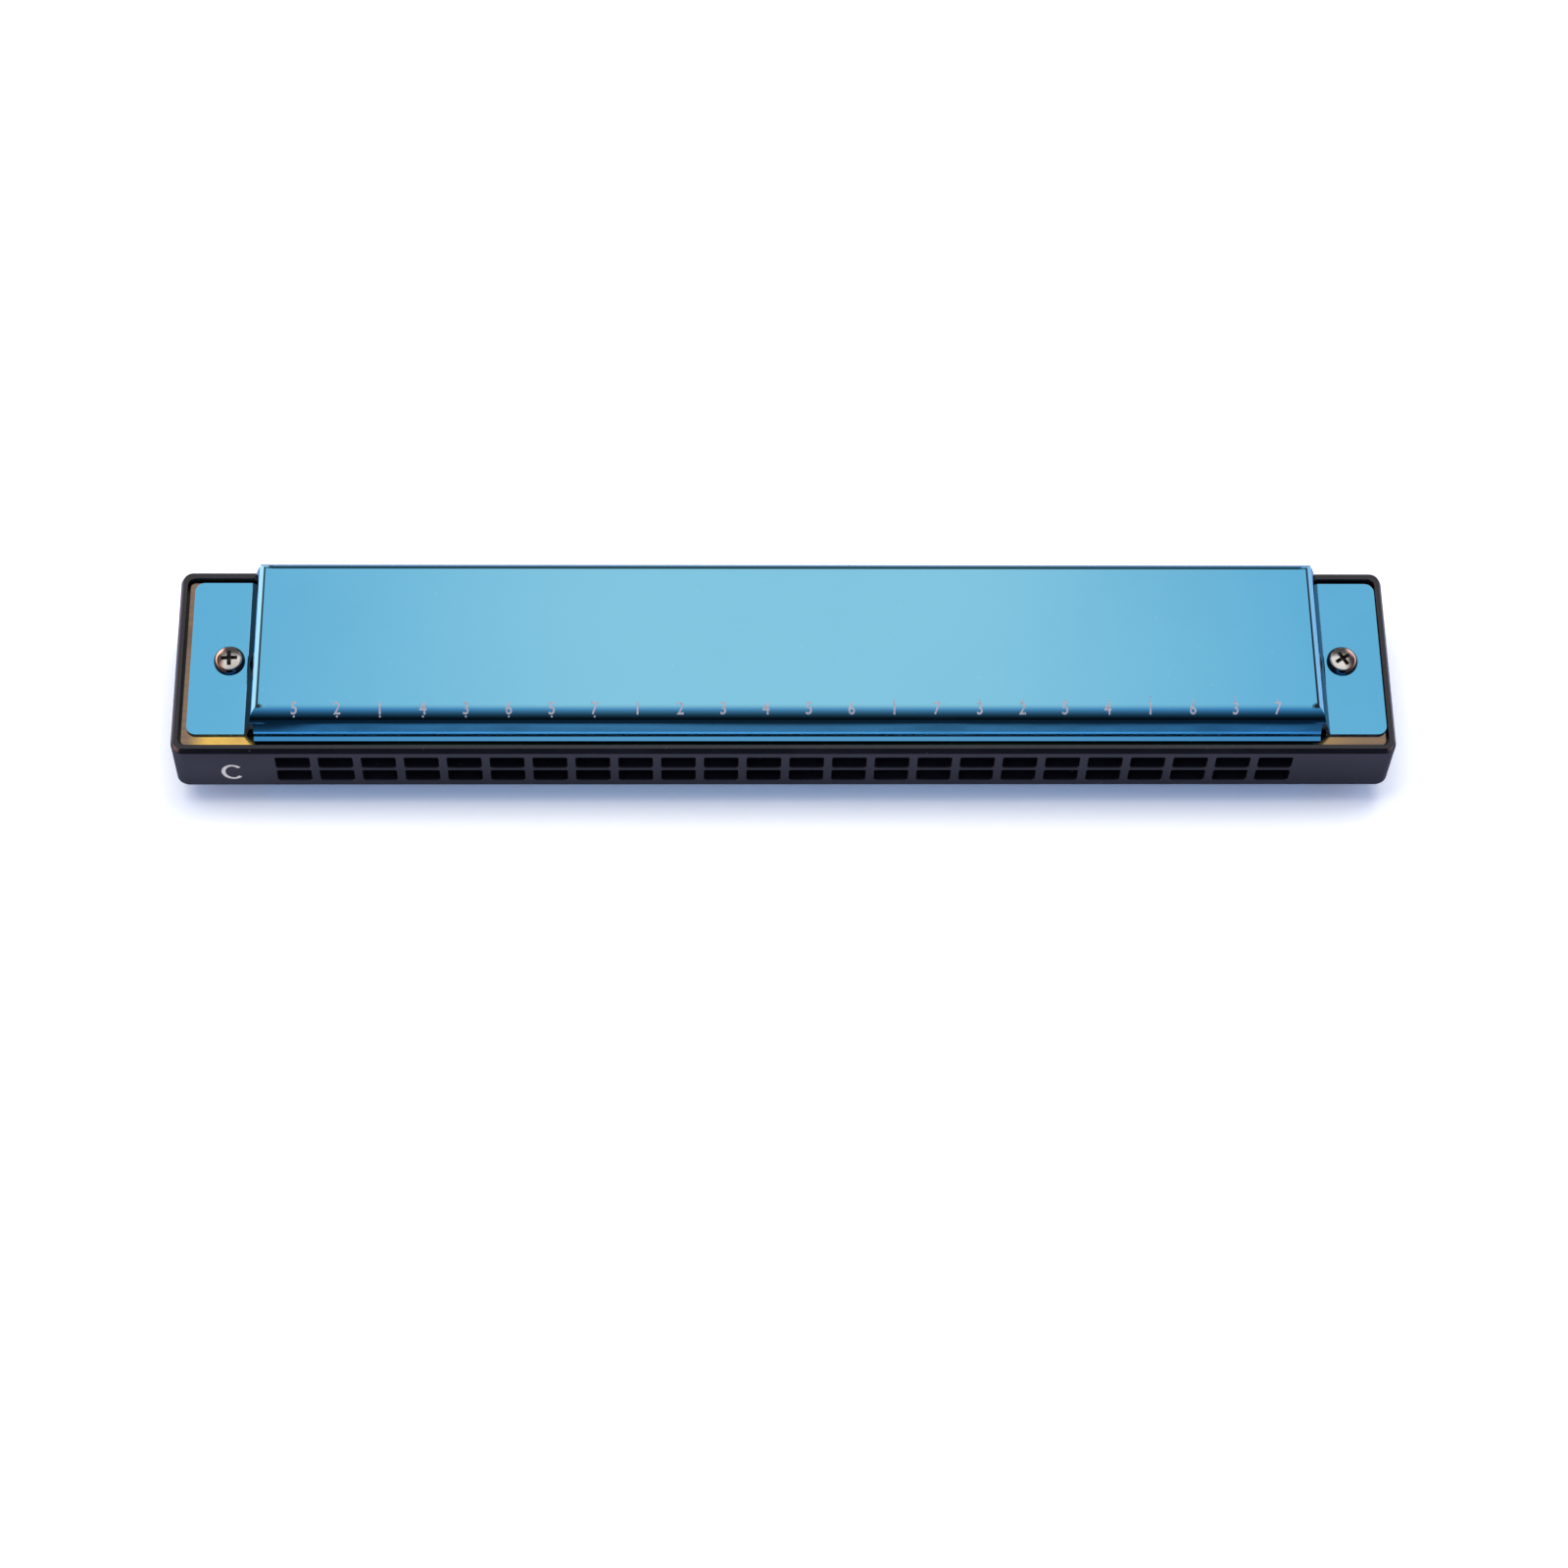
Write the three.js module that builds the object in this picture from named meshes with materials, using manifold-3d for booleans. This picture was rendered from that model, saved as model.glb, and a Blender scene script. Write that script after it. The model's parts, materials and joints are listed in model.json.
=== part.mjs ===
// Tremolo harmonica with 24 columns of paired mouth holes.
// A moulded comb carries a reed plate in a recess on each side. Each plate has
// 24 riveted reeds over slots that shorten from the low notes to the high ones.
// A folded sheet cover closes each side and is held by two screws.
// Millimetres. X runs along the length from low to high notes, the mouth holes
// face -Y and Z is up. The origin is under the middle, on the lower cover's flat.
import * as THREE from "three";
import { mergeVertices } from "three/addons/utils/BufferGeometryUtils.js";
import Module from "manifold-3d";

const wasm = await Module();
wasm.setup();

// Mouth holes and the walls between them
const columnCount = 24;
const holeWidth = 5;
const holeHeight = 3;
const barWidth = 1.29;
const rowDividerHeight = 0.8;
const lintelHeight = 0.4;

// Comb, from its front face to its back face
const frontRailWidth = 3;
const slotLead = 1.4;
const chamberTailClearance = 0.6;
const rearRailWidth = 3.3;
const frontRimWidth = 1.1;
const rearRimWidth = 1.3;
const rimEndWidth = 1.1;
const endBlockLength = 14.52;
const combCornerRadius = 1.8;
const combEdgeRadius = 0.7;
const chamberFloorRadius = 0.9;

// Reed plates
const plateThickness = 0.9;
const plateBelowRim = 0.8;
const plateClearance = 0.3;
const plateCornerRadius = 0.8;
const longestSlot = 17;
const shortestSlot = 10;

// Reeds and their rivets
const reedWidth = 2.2;
const reedTipWidth = 2;
const reedRootThickness = 0.28;
const reedTipThickness = 0.18;
const reedTipOffset = 0.3;
const reedSideClearance = 0.1;
const reedTipClearance = 0.2;
const reedSeatClearance = 0.15;
const padLength = 4;
const padWidth = 3;
const padThickness = 0.45;
const padCornerCut = 0.6;
const padToSlot = 0.2;
const padLead = 0.2;
const rivetRadius = 0.55;
const rivetHeadRadius = 0.95;
const rivetHeadHeight = 0.4;
const rivetCrownRadius = 0.5;
const rivetClearance = 0.12;
const rivetTailClearance = 0.1;

// Nails that hold each plate to the comb's rear rail
const nailCount = 5;
const nailRadius = 0.45;
const nailHeadRadius = 0.85;
const nailHeadHeight = 0.35;
const nailCrownRadius = 0.45;
const nailDepth = 2.4;
const nailClearance = 0.12;

// Covers
const coverRise = 4.8;
const sheetThickness = 0.45;
const flangeLowEndClearance = 1.1;
const flangeHighEndClearance = 0.15;
const flangeFrontInset = 1.9;
const flangeRearInset = 0.6;
const flangeCornerRadius = 1.4;
const frontFootInset = 0.9;
const frontWallLean = THREE.MathUtils.degToRad(15.4);
const frontBendRadius = 2.7;
const frontFlapCornerRadius = 1;
const trayEndMargin = 2.75;
const trayRearInset = 1.2;
const endWallRun = 1.6;
const endBendRadius = 0.75;
const hemRadius = 1.4;
const hemDrop = 1.8;

// Cover screws
const screwFromTrayFoot = 2.7;
const screwHeadRadius = 2.3;
const screwHeadHeight = 1.5;
const screwHeadEdge = 0.45;
const screwShankRadius = 0.9;
const screwBite = 3.2;
const screwTipLength = 1;
const screwHoleClearance = 0.25;
const screwPilotClearance = 0.1;
const crossReach = 1.35;
const crossFloorReach = 0.45;
const crossWing = 0.5;
const crossDepth = 1.05;

// How far a cutting shape runs past the material that it cuts
const overrun = 1;
const weldDistance = 0.0001;

// Steps round a quarter turn or a full turn
const cornerSteps = 4;
const edgeSteps = 2;
const bendSteps = 4;
const screwSides = 20;
const crownSteps = 4;
const rivetSides = 8;
const pilotSides = 12;
const reedSpans = 2;

// Sizes that follow from the ones above
const columnPitch = holeWidth + barWidth;
const columnsLength = columnCount * columnPitch;
const combLength = columnsLength + 2 * endBlockLength;
const rivetToSlot = padLength / 2 + padToSlot;
const chamberTail = rivetToSlot + padLength / 2 + chamberTailClearance;
const combWidth = frontRailWidth + slotLead + longestSlot + chamberTail + rearRailWidth + rearRimWidth;
const recessDepth = plateThickness + plateBelowRim;
const combHalfHeight = rowDividerHeight / 2 + holeHeight + lintelHeight + recessDepth;
const seatHeight = combHalfHeight - recessDepth;
const plateTop = seatHeight + plateThickness;
const combFront = -combWidth / 2;
const combBack = combWidth / 2;
const combEnd = combLength / 2;
const recessLength = combLength - 2 * rimEndWidth;
const recessWidth = combWidth - frontRimWidth - rearRimWidth;
const recessMiddle = (frontRimWidth - rearRimWidth) / 2;
const chamberFront = combFront + frontRailWidth;
const slotFront = chamberFront + slotLead;
const slotWidth = reedWidth + 2 * reedSideClearance;
const trayTopEnd = columnsLength / 2 + trayEndMargin;
const trayFootEnd = trayTopEnd + endWallRun;
const screwReach = trayFootEnd + screwFromTrayFoot;
const coverMiddle = (flangeLowEndClearance - flangeHighEndClearance) / 2;
const screwPlaces = [coverMiddle - screwReach, coverMiddle + screwReach];
const coverTop = combHalfHeight + coverRise;
const flangeTop = plateTop + sheetThickness;
const coverFront = combFront + frontRimWidth + flangeFrontInset;
const coverFoot = combFront + frontRimWidth + frontFootInset;
const flangeBack = combBack - rearRimWidth - flangeRearInset;
const trayBack = combBack - trayRearInset;
const flangeEnd = (recessLength - flangeLowEndClearance - flangeHighEndClearance) / 2;
const screwHoleRadius = screwShankRadius + screwHoleClearance;

// Materials
const blackPlastic = new THREE.MeshStandardMaterial({ color: 0x2c2b33, roughness: 0.35, metalness: 0 });
const brassPlate = new THREE.MeshStandardMaterial({ color: 0xc9a063, roughness: 0.35, metalness: 1 });
const reedBrass = new THREE.MeshStandardMaterial({ color: 0xd8b878, roughness: 0.25, metalness: 1 });
const blueSteel = new THREE.MeshStandardMaterial({ color: 0x6fb6d6, roughness: 0.1, metalness: 1 });
const nickel = new THREE.MeshStandardMaterial({ color: 0xc9c5c2, roughness: 0.18, metalness: 1 });

// Column places: low notes at -X, high notes at +X
function columnPlace(column) {
  return (column - (columnCount - 1) / 2) * columnPitch;
}

function slotLength(column) {
  return THREE.MathUtils.lerp(longestSlot, shortestSlot, column / (columnCount - 1));
}

// Odd columns sound on the blow, even ones on the draw
function isBlow(column) {
  return column % 2 === 0;
}

// A blow reed is riveted behind its slot, a draw reed in front of it
function slotStart(column) {
  return isBlow(column) ? slotFront : chamberFront + padLead + padLength / 2 + rivetToSlot;
}

function rivetPlace(column) {
  const start = slotStart(column);
  return isBlow(column) ? start + slotLength(column) + rivetToSlot : start - rivetToSlot;
}

// A closed mesh turned into a solid that can be joined and cut
function solid(geometry) {
  const bare = geometry.clone();
  bare.deleteAttribute("normal");
  bare.deleteAttribute("uv");
  const welded = mergeVertices(bare, weldDistance);
  return new wasm.Manifold(
    new wasm.Mesh({
      numProp: 3,
      vertProperties: new Float32Array(welded.attributes.position.array),
      triVerts: new Uint32Array(welded.index.array),
    }),
  );
}

function union(solids) {
  return solids.reduce((all, next) => all.add(next));
}

function namedMesh(name, made, material) {
  const { vertProperties, triVerts } = made.getMesh();
  const geometry = new THREE.BufferGeometry();
  geometry.setAttribute("position", new THREE.BufferAttribute(new Float32Array(vertProperties), 3));
  geometry.setIndex(new THREE.BufferAttribute(new Uint32Array(triVerts), 1));
  geometry.computeVertexNormals();
  const mesh = new THREE.Mesh(geometry, material);
  mesh.name = name;
  return mesh;
}

// Points of a rectangle with round corners, about its own middle
function roundedRectangle(length, width, radius) {
  const points = [];
  const corners = [
    [1, 1],
    [-1, 1],
    [-1, -1],
    [1, -1],
  ];
  corners.forEach(([sideX, sideY], quarter) => {
    const middle = new THREE.Vector2(sideX * (length / 2 - radius), sideY * (width / 2 - radius));
    for (let step = 0; step <= cornerSteps; step += 1) {
      const angle = ((quarter + step / cornerSteps) * Math.PI) / 2;
      points.push(new THREE.Vector2(Math.cos(angle), Math.sin(angle)).multiplyScalar(radius).add(middle));
    }
  });
  return points;
}

// Extrusions of an outline drawn in X and Y, in Y and Z, and in X and Z
function raised(shape, bottom, top) {
  const geometry = new THREE.ExtrudeGeometry(shape, { depth: top - bottom, bevelEnabled: false });
  return geometry.translate(0, 0, bottom);
}

function alongX(shape, from, to) {
  const geometry = new THREE.ExtrudeGeometry(shape, { depth: to - from, bevelEnabled: false });
  const turn = new THREE.Matrix4().makeBasis(
    new THREE.Vector3(0, 1, 0),
    new THREE.Vector3(0, 0, 1),
    new THREE.Vector3(1, 0, 0),
  );
  return geometry.applyMatrix4(turn).translate(from, 0, 0);
}

function alongY(shape, from, to) {
  const geometry = new THREE.ExtrudeGeometry(shape, { depth: to - from, bevelEnabled: false });
  const turn = new THREE.Matrix4().makeBasis(
    new THREE.Vector3(1, 0, 0),
    new THREE.Vector3(0, 0, 1),
    new THREE.Vector3(0, -1, 0),
  );
  return geometry.applyMatrix4(turn).translate(0, to, 0);
}

// A round bar along Z, which may taper
function roundBar(topRadius, bottomRadius, bottom, top, sides, x = 0, y = 0) {
  const bar = new THREE.CylinderGeometry(topRadius, bottomRadius, top - bottom, sides);
  const turn = new THREE.Matrix4().makeRotationX(Math.PI / 2);
  const place = new THREE.Matrix4().makeTranslation(x, y, (top + bottom) / 2);
  bar.rotateY(Math.PI / sides);
  return bar.applyMatrix4(turn).applyMatrix4(place);
}

// The same geometry on the other side of the comb's middle plane
function mirroredDown(geometry) {
  const flipped = geometry.index ? geometry.toNonIndexed() : geometry.clone();
  flipped.scale(1, 1, -1);
  const places = flipped.attributes.position;
  const [first, third] = [new THREE.Vector3(), new THREE.Vector3()];
  for (let corner = 0; corner < places.count; corner += 3) {
    first.fromBufferAttribute(places, corner);
    third.fromBufferAttribute(places, corner + 2);
    places.setXYZ(corner, ...third);
    places.setXYZ(corner + 2, ...first);
  }
  return flipped;
}

// Comb: one moulding with a rim round both recesses and a row of chambers on each side
function nailPlaces() {
  const rowLength = columnsLength - 2 * columnPitch;
  const nailLine = combBack - rearRimWidth - rearRailWidth / 2;
  return Array.from({ length: nailCount }, (_, nail) => [
    (nail / (nailCount - 1) - 1 / 2) * rowLength,
    nailLine,
  ]);
}

function combBlock() {
  const outline = new THREE.Shape(roundedRectangle(combLength, combWidth, combCornerRadius));
  const geometry = new THREE.ExtrudeGeometry(outline, {
    depth: 2 * (combHalfHeight - combEdgeRadius),
    bevelThickness: combEdgeRadius,
    bevelSize: combEdgeRadius,
    bevelOffset: -combEdgeRadius,
    bevelSegments: edgeSteps,
  });
  return geometry.translate(0, 0, combEdgeRadius - combHalfHeight);
}

// A chamber with its mouth hole: low under the front rail, then open up to the plate
function chamberCut(column) {
  const floor = rowDividerHeight / 2;
  const holeTop = floor + holeHeight;
  const back = slotFront + slotLength(column) + chamberTail;
  const side = new THREE.Shape([
    new THREE.Vector2(combFront - overrun, floor),
    new THREE.Vector2(back - chamberFloorRadius, floor),
    new THREE.Vector2(back, floor + chamberFloorRadius),
    new THREE.Vector2(back, seatHeight + overrun),
    new THREE.Vector2(chamberFront, seatHeight + overrun),
    new THREE.Vector2(chamberFront, holeTop),
    new THREE.Vector2(combFront - overrun, holeTop),
  ]);
  const middle = columnPlace(column);
  return alongX(side, middle - holeWidth / 2, middle + holeWidth / 2);
}

function comb() {
  const recessCorner = plateCornerRadius + plateClearance;
  const recessOutline = new THREE.Shape(roundedRectangle(recessLength, recessWidth, recessCorner));
  const recess = raised(recessOutline, seatHeight, combHalfHeight + overrun).translate(0, recessMiddle, 0);
  const sideCuts = [recess];
  for (let column = 0; column < columnCount; column += 1) {
    sideCuts.push(chamberCut(column));
  }
  const nailHole = nailRadius + nailClearance;
  for (const [x, y] of nailPlaces()) {
    const depth = nailDepth + nailClearance;
    sideCuts.push(roundBar(nailHole, nailHole, seatHeight - depth, seatHeight + overrun, rivetSides, x, y));
  }
  const pilot = screwShankRadius + screwPilotClearance;
  const throughCuts = screwPlaces.map((x) =>
    roundBar(pilot, pilot, -seatHeight - overrun, seatHeight + overrun, pilotSides, x),
  );
  const cuts = [...sideCuts, ...sideCuts.map(mirroredDown), ...throughCuts];
  return cuts.reduce((block, cut) => block.subtract(solid(cut)), solid(combBlock()));
}

// Reed plate: sheet brass with a slot and a rivet hole for each column
function reedPlate() {
  const [length, width] = [recessLength, recessWidth].map((size) => size - 2 * plateClearance);
  const outline = new THREE.Shape(roundedRectangle(length, width, plateCornerRadius));
  const [below, above] = [seatHeight - overrun, plateTop + overrun];
  const cuts = screwPlaces.map((x) =>
    roundBar(screwHoleRadius, screwHoleRadius, below, above, pilotSides, x),
  );
  const rivetHole = rivetRadius + rivetClearance;
  for (let column = 0; column < columnCount; column += 1) {
    const x = columnPlace(column);
    const start = slotStart(column);
    const slot = new THREE.Shape([
      new THREE.Vector2(x - slotWidth / 2, start),
      new THREE.Vector2(x + slotWidth / 2, start),
      new THREE.Vector2(x + slotWidth / 2, start + slotLength(column)),
      new THREE.Vector2(x - slotWidth / 2, start + slotLength(column)),
    ]);
    cuts.push(raised(slot, below, above));
    cuts.push(roundBar(rivetHole, rivetHole, below, above, rivetSides, x, rivetPlace(column)));
  }
  const blank = solid(raised(outline, seatHeight, plateTop).translate(0, recessMiddle, 0));
  const plate = cuts.reduce((sheet, cut) => sheet.subtract(solid(cut)), blank);
  const nails = nailPlaces().flatMap(([x, y]) => [
    roundBar(nailRadius, nailRadius, seatHeight - nailDepth, plateTop, rivetSides, x, y),
    roundBar(nailCrownRadius, nailHeadRadius, plateTop, plateTop + nailHeadHeight, rivetSides, x, y),
  ]);
  return union([plate, ...nails.map(solid)]);
}

// Reed: a tapered tongue with a thick pad, drawn with the rivet's axis at the
// origin, the plate's face at zero height and the tip towards +Y
function reed(column) {
  const tip = rivetToSlot + slotLength(column) - reedTipClearance;
  const root = padLength / 2;
  const seat = reedSeatClearance;
  const padTop = seat + padThickness;
  const under = [];
  const over = [];
  for (let span = 0; span <= reedSpans; span += 1) {
    const share = span / reedSpans;
    const along = THREE.MathUtils.lerp(root, tip, share);
    const lift = seat + reedTipOffset * share ** 2;
    under.push(new THREE.Vector2(along, lift));
    const thickness = THREE.MathUtils.lerp(reedRootThickness, reedTipThickness, share);
    over.unshift(new THREE.Vector2(along, lift + thickness));
  }
  const side = new THREE.Shape([
    new THREE.Vector2(-root, seat),
    ...under,
    ...over,
    new THREE.Vector2(root, padTop),
    new THREE.Vector2(-root, padTop),
  ]);
  const rightEdge = [
    new THREE.Vector2(padWidth / 2 - padCornerCut, -root - overrun),
    new THREE.Vector2(padWidth / 2, -root + padCornerCut),
    new THREE.Vector2(padWidth / 2, root),
    new THREE.Vector2(reedWidth / 2, root),
    new THREE.Vector2(reedTipWidth / 2, tip + overrun),
  ];
  const leftEdge = rightEdge.map(({ x, y }) => new THREE.Vector2(-x, y)).reverse();
  const plan = raised(new THREE.Shape([...rightEdge, ...leftEdge]), -overrun, padTop + overrun);
  const tail = rivetTailClearance - plateThickness;
  return union([
    solid(alongX(side, -padWidth, padWidth)).intersect(solid(plan)),
    solid(roundBar(rivetRadius, rivetRadius, tail, padTop, rivetSides)),
    solid(roundBar(rivetCrownRadius, rivetHeadRadius, padTop, padTop + rivetHeadHeight, rivetSides)),
  ]);
}

// The outer line of a bent sheet, with the direction that faces out at each point
function bentLine(corners) {
  const line = [];
  const facing = (way) => new THREE.Vector2(-way.y, way.x);
  corners.forEach((corner, index) => {
    const before = corners[index - 1];
    const after = corners[index + 1];
    const comes = before && corner.at.clone().sub(before.at).normalize();
    const goes = after && after.at.clone().sub(corner.at).normalize();
    if (!comes || !goes) {
      line.push({ at: corner.at, out: facing(comes || goes) });
      return;
    }
    const turn = Math.asin(comes.cross(goes));
    const back = corner.radius * Math.tan(Math.abs(turn) / 2);
    const startOfBend = corner.at.clone().addScaledVector(comes, -back);
    const centre = startOfBend.addScaledVector(facing(comes), Math.sign(turn) * corner.radius);
    for (let step = 0; step <= bendSteps; step += 1) {
      const out = facing(comes).rotateAround(new THREE.Vector2(), (turn * step) / bendSteps);
      const at = centre.clone().addScaledVector(out, -Math.sign(turn) * corner.radius);
      line.push({ at, out });
    }
  });
  return line;
}

function innerLine(line) {
  return line.map(({ at, out }) => at.clone().addScaledVector(out, -sheetThickness));
}

// Section of the cover from front to back: the flap, the top and the small hem
function frontToBack() {
  const footRun = (coverTop - plateTop) * Math.tan(frontWallLean);
  const pastFoot = new THREE.Vector2(-Math.tan(frontWallLean), -1).multiplyScalar(overrun);
  return bentLine([
    { at: new THREE.Vector2(coverFoot, plateTop).add(pastFoot) },
    { at: new THREE.Vector2(coverFoot + footRun, coverTop), radius: frontBendRadius },
    { at: new THREE.Vector2(trayBack, coverTop), radius: hemRadius },
    { at: new THREE.Vector2(trayBack, coverTop - hemDrop) },
  ]);
}

// Section of the cover from end to end: flange, end wall, top, end wall, flange
function endToEnd() {
  return bentLine([
    { at: new THREE.Vector2(-flangeEnd, flangeTop) },
    { at: new THREE.Vector2(-trayFootEnd, flangeTop), radius: endBendRadius },
    { at: new THREE.Vector2(-trayTopEnd, coverTop), radius: endBendRadius },
    { at: new THREE.Vector2(trayTopEnd, coverTop), radius: endBendRadius },
    { at: new THREE.Vector2(trayFootEnd, flangeTop), radius: endBendRadius },
    { at: new THREE.Vector2(flangeEnd, flangeTop) },
  ]);
}

// Outline of the cover from above: the flap stands in front of the flanges, past
// a relief at each corner, and the tray reaches back over the comb's rim
function coverPlan() {
  const outerCorner = [];
  for (let step = 0; step <= cornerSteps; step += 1) {
    const angle = ((step / cornerSteps) * Math.PI) / 2;
    const [x, y] = [Math.cos(angle), Math.sin(angle)].map((share) => flangeCornerRadius * (share - 1));
    outerCorner.push([flangeEnd + x, y]);
  }
  const rightSide = [
    new THREE.Vector2(trayTopEnd, combFront),
    new THREE.Vector2(trayTopEnd, coverFront),
    ...outerCorner.map(([x, y]) => new THREE.Vector2(x, coverFront - y)).reverse(),
    ...outerCorner.map(([x, y]) => new THREE.Vector2(x, flangeBack + y)),
    new THREE.Vector2(trayTopEnd, flangeBack),
    new THREE.Vector2(trayTopEnd, trayBack),
  ];
  const leftSide = rightSide.map(({ x, y }) => new THREE.Vector2(-x, y)).reverse();
  return new THREE.Shape([...rightSide, ...leftSide]);
}

// What is cut from the flap to round its lower corner at one end
function flapCornerCut(end) {
  const [middleX, middleZ] = [trayTopEnd - frontFlapCornerRadius, plateTop + frontFlapCornerRadius];
  const outline = [
    new THREE.Vector2(end * (trayTopEnd + overrun), middleZ),
    new THREE.Vector2(end * (trayTopEnd + overrun), plateTop - overrun),
    new THREE.Vector2(end * middleX, plateTop - overrun),
  ];
  for (let step = 0; step <= cornerSteps; step += 1) {
    const angle = ((step / cornerSteps) * Math.PI) / 2;
    const x = middleX + frontFlapCornerRadius * Math.sin(angle);
    outline.push(new THREE.Vector2(end * x, middleZ - frontFlapCornerRadius * Math.cos(angle)));
  }
  return solid(alongY(new THREE.Shape(outline), combFront, coverFront));
}

// Cover: one blank of sheet with a flap folded down in front, a small hem at the
// back, and an end wall and a screw flange folded at each end, about its own middle
function cover() {
  const lengthwise = frontToBack();
  const crosswise = endToEnd();
  const outerSide = lengthwise.slice(0, -1).map(({ at }) => at);
  const innerSide = innerLine(lengthwise);
  const outerEnds = crosswise.map(({ at }) => at);
  const innerEnds = innerLine(crosswise).slice(1, -1);
  const [below, behind] = [plateTop - overrun, trayBack + overrun];

  const filledSide = new THREE.Shape([...outerSide, new THREE.Vector2(trayBack, below)]);
  const filledEnds = new THREE.Shape([
    ...outerEnds,
    new THREE.Vector2(flangeEnd, plateTop),
    new THREE.Vector2(-flangeEnd, plateTop),
  ]);
  const hollowSide = new THREE.Shape([
    ...innerSide,
    new THREE.Vector2(behind, coverTop - hemDrop),
    new THREE.Vector2(behind, below),
  ]);
  const hollowEnds = new THREE.Shape([
    ...innerEnds,
    new THREE.Vector2(innerEnds.at(-1).x, below),
    new THREE.Vector2(innerEnds[0].x, below),
  ]);
  const outside = solid(alongX(filledSide, -combEnd, combEnd)).intersect(
    solid(alongY(filledEnds, combFront, trayBack)),
  );
  const inside = solid(alongX(hollowSide, -combEnd, combEnd)).intersect(
    solid(alongY(hollowEnds, combFront, behind)),
  );
  const sheet = outside
    .subtract(inside)
    .intersect(solid(raised(coverPlan(), below, coverTop + overrun)))
    .subtract(flapCornerCut(-1))
    .subtract(flapCornerCut(1));
  const screwHoles = [-screwReach, screwReach].map((x) =>
    roundBar(screwHoleRadius, screwHoleRadius, below, coverTop, pilotSides, x),
  );
  return screwHoles.reduce((made, hole) => made.subtract(solid(hole)), sheet);
}

// Cover screw: pan head with a cross recess, drawn with the underside of its
// head at zero height and its shank down -Z
function coverScrew() {
  const depth = sheetThickness + plateThickness + screwBite;
  const profile = [
    new THREE.Vector2(0, -depth),
    new THREE.Vector2(screwShankRadius, screwTipLength - depth),
    new THREE.Vector2(screwShankRadius, 0),
    new THREE.Vector2(screwHeadRadius, 0),
  ];
  for (let step = 0; step < crownSteps; step += 1) {
    const angle = ((step / crownSteps) * Math.PI) / 2;
    const height = screwHeadEdge + (screwHeadHeight - screwHeadEdge) * Math.sin(angle);
    profile.push(new THREE.Vector2(screwHeadRadius * Math.cos(angle), height));
  }
  profile.push(new THREE.Vector2(0, screwHeadHeight));
  const body = new THREE.LatheGeometry(profile, screwSides).rotateX(Math.PI / 2);
  const floor = screwHeadHeight - crossDepth;
  const wing = new THREE.Shape([
    new THREE.Vector2(-crossReach, -crossWing / 2),
    new THREE.Vector2(crossReach, -crossWing / 2),
    new THREE.Vector2(crossReach, crossWing / 2),
    new THREE.Vector2(-crossReach, crossWing / 2),
  ]);
  const wings = raised(wing, floor, screwHeadHeight + overrun);
  const cross = solid(wings).add(solid(wings.clone().rotateZ(Math.PI / 2)));
  const cone = solid(roundBar(crossReach, crossFloorReach, floor, screwHeadHeight, pilotSides));
  return solid(body).subtract(cross.intersect(cone));
}

// One side of the harmonica above the comb's middle plane
function sideGroup(side) {
  const group = new THREE.Group();
  group.add(namedMesh(`${side}_reed_plate`, reedPlate(), brassPlate));
  for (let column = 0; column < columnCount; column += 1) {
    const name = `${side}_reed_${String(column + 1).padStart(2, "0")}`;
    const tongue = namedMesh(name, reed(column), reedBrass);
    tongue.position.set(columnPlace(column), rivetPlace(column), isBlow(column) ? seatHeight : plateTop);
    tongue.rotation.x = isBlow(column) ? Math.PI : 0;
    group.add(tongue);
  }
  const sheet = namedMesh(`${side}_cover`, cover(), blueSteel);
  sheet.position.x = coverMiddle;
  group.add(sheet);
  ["left", "right"].forEach((end, index) => {
    const screw = namedMesh(`${side}_${end}_screw`, coverScrew(), nickel);
    screw.position.set(screwPlaces[index], 0, flangeTop);
    group.add(screw);
  });
  return group;
}

const harmonica = new THREE.Group();
harmonica.position.z = coverTop;
harmonica.add(namedMesh("comb", comb(), blackPlastic));
harmonica.add(sideGroup("upper"));
const lowerSide = sideGroup("lower");
lowerSide.scale.z = -1;
harmonica.add(lowerSide);

export default harmonica;
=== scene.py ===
import json
import math
import bmesh
import bpy
from mathutils import Matrix, Vector

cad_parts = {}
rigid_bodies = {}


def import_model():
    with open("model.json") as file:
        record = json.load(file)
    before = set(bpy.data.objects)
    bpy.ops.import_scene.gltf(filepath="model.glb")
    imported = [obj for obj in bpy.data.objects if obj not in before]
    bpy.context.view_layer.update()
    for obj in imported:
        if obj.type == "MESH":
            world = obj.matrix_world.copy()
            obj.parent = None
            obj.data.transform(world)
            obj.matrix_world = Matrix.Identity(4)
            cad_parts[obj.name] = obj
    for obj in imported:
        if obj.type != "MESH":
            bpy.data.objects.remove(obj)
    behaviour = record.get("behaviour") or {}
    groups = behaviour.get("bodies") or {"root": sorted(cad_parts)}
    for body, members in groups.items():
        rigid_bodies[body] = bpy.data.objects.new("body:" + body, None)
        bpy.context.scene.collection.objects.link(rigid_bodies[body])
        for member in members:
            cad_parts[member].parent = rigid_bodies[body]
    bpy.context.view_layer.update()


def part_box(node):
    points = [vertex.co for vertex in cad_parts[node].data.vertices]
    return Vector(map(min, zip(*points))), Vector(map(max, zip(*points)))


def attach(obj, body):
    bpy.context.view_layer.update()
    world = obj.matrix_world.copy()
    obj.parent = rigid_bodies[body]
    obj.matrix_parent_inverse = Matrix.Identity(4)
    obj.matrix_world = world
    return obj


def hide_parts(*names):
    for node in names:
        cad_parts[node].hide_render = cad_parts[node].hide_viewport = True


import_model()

# Comb: the harmonica's body, moulded in black plastic. A rim stands round each
# reed plate, and 24 columns of mouth holes open into a row of chambers for each.
# Sizes are millimetres about its middle plane until a piece is placed.
MM = 0.001
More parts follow.
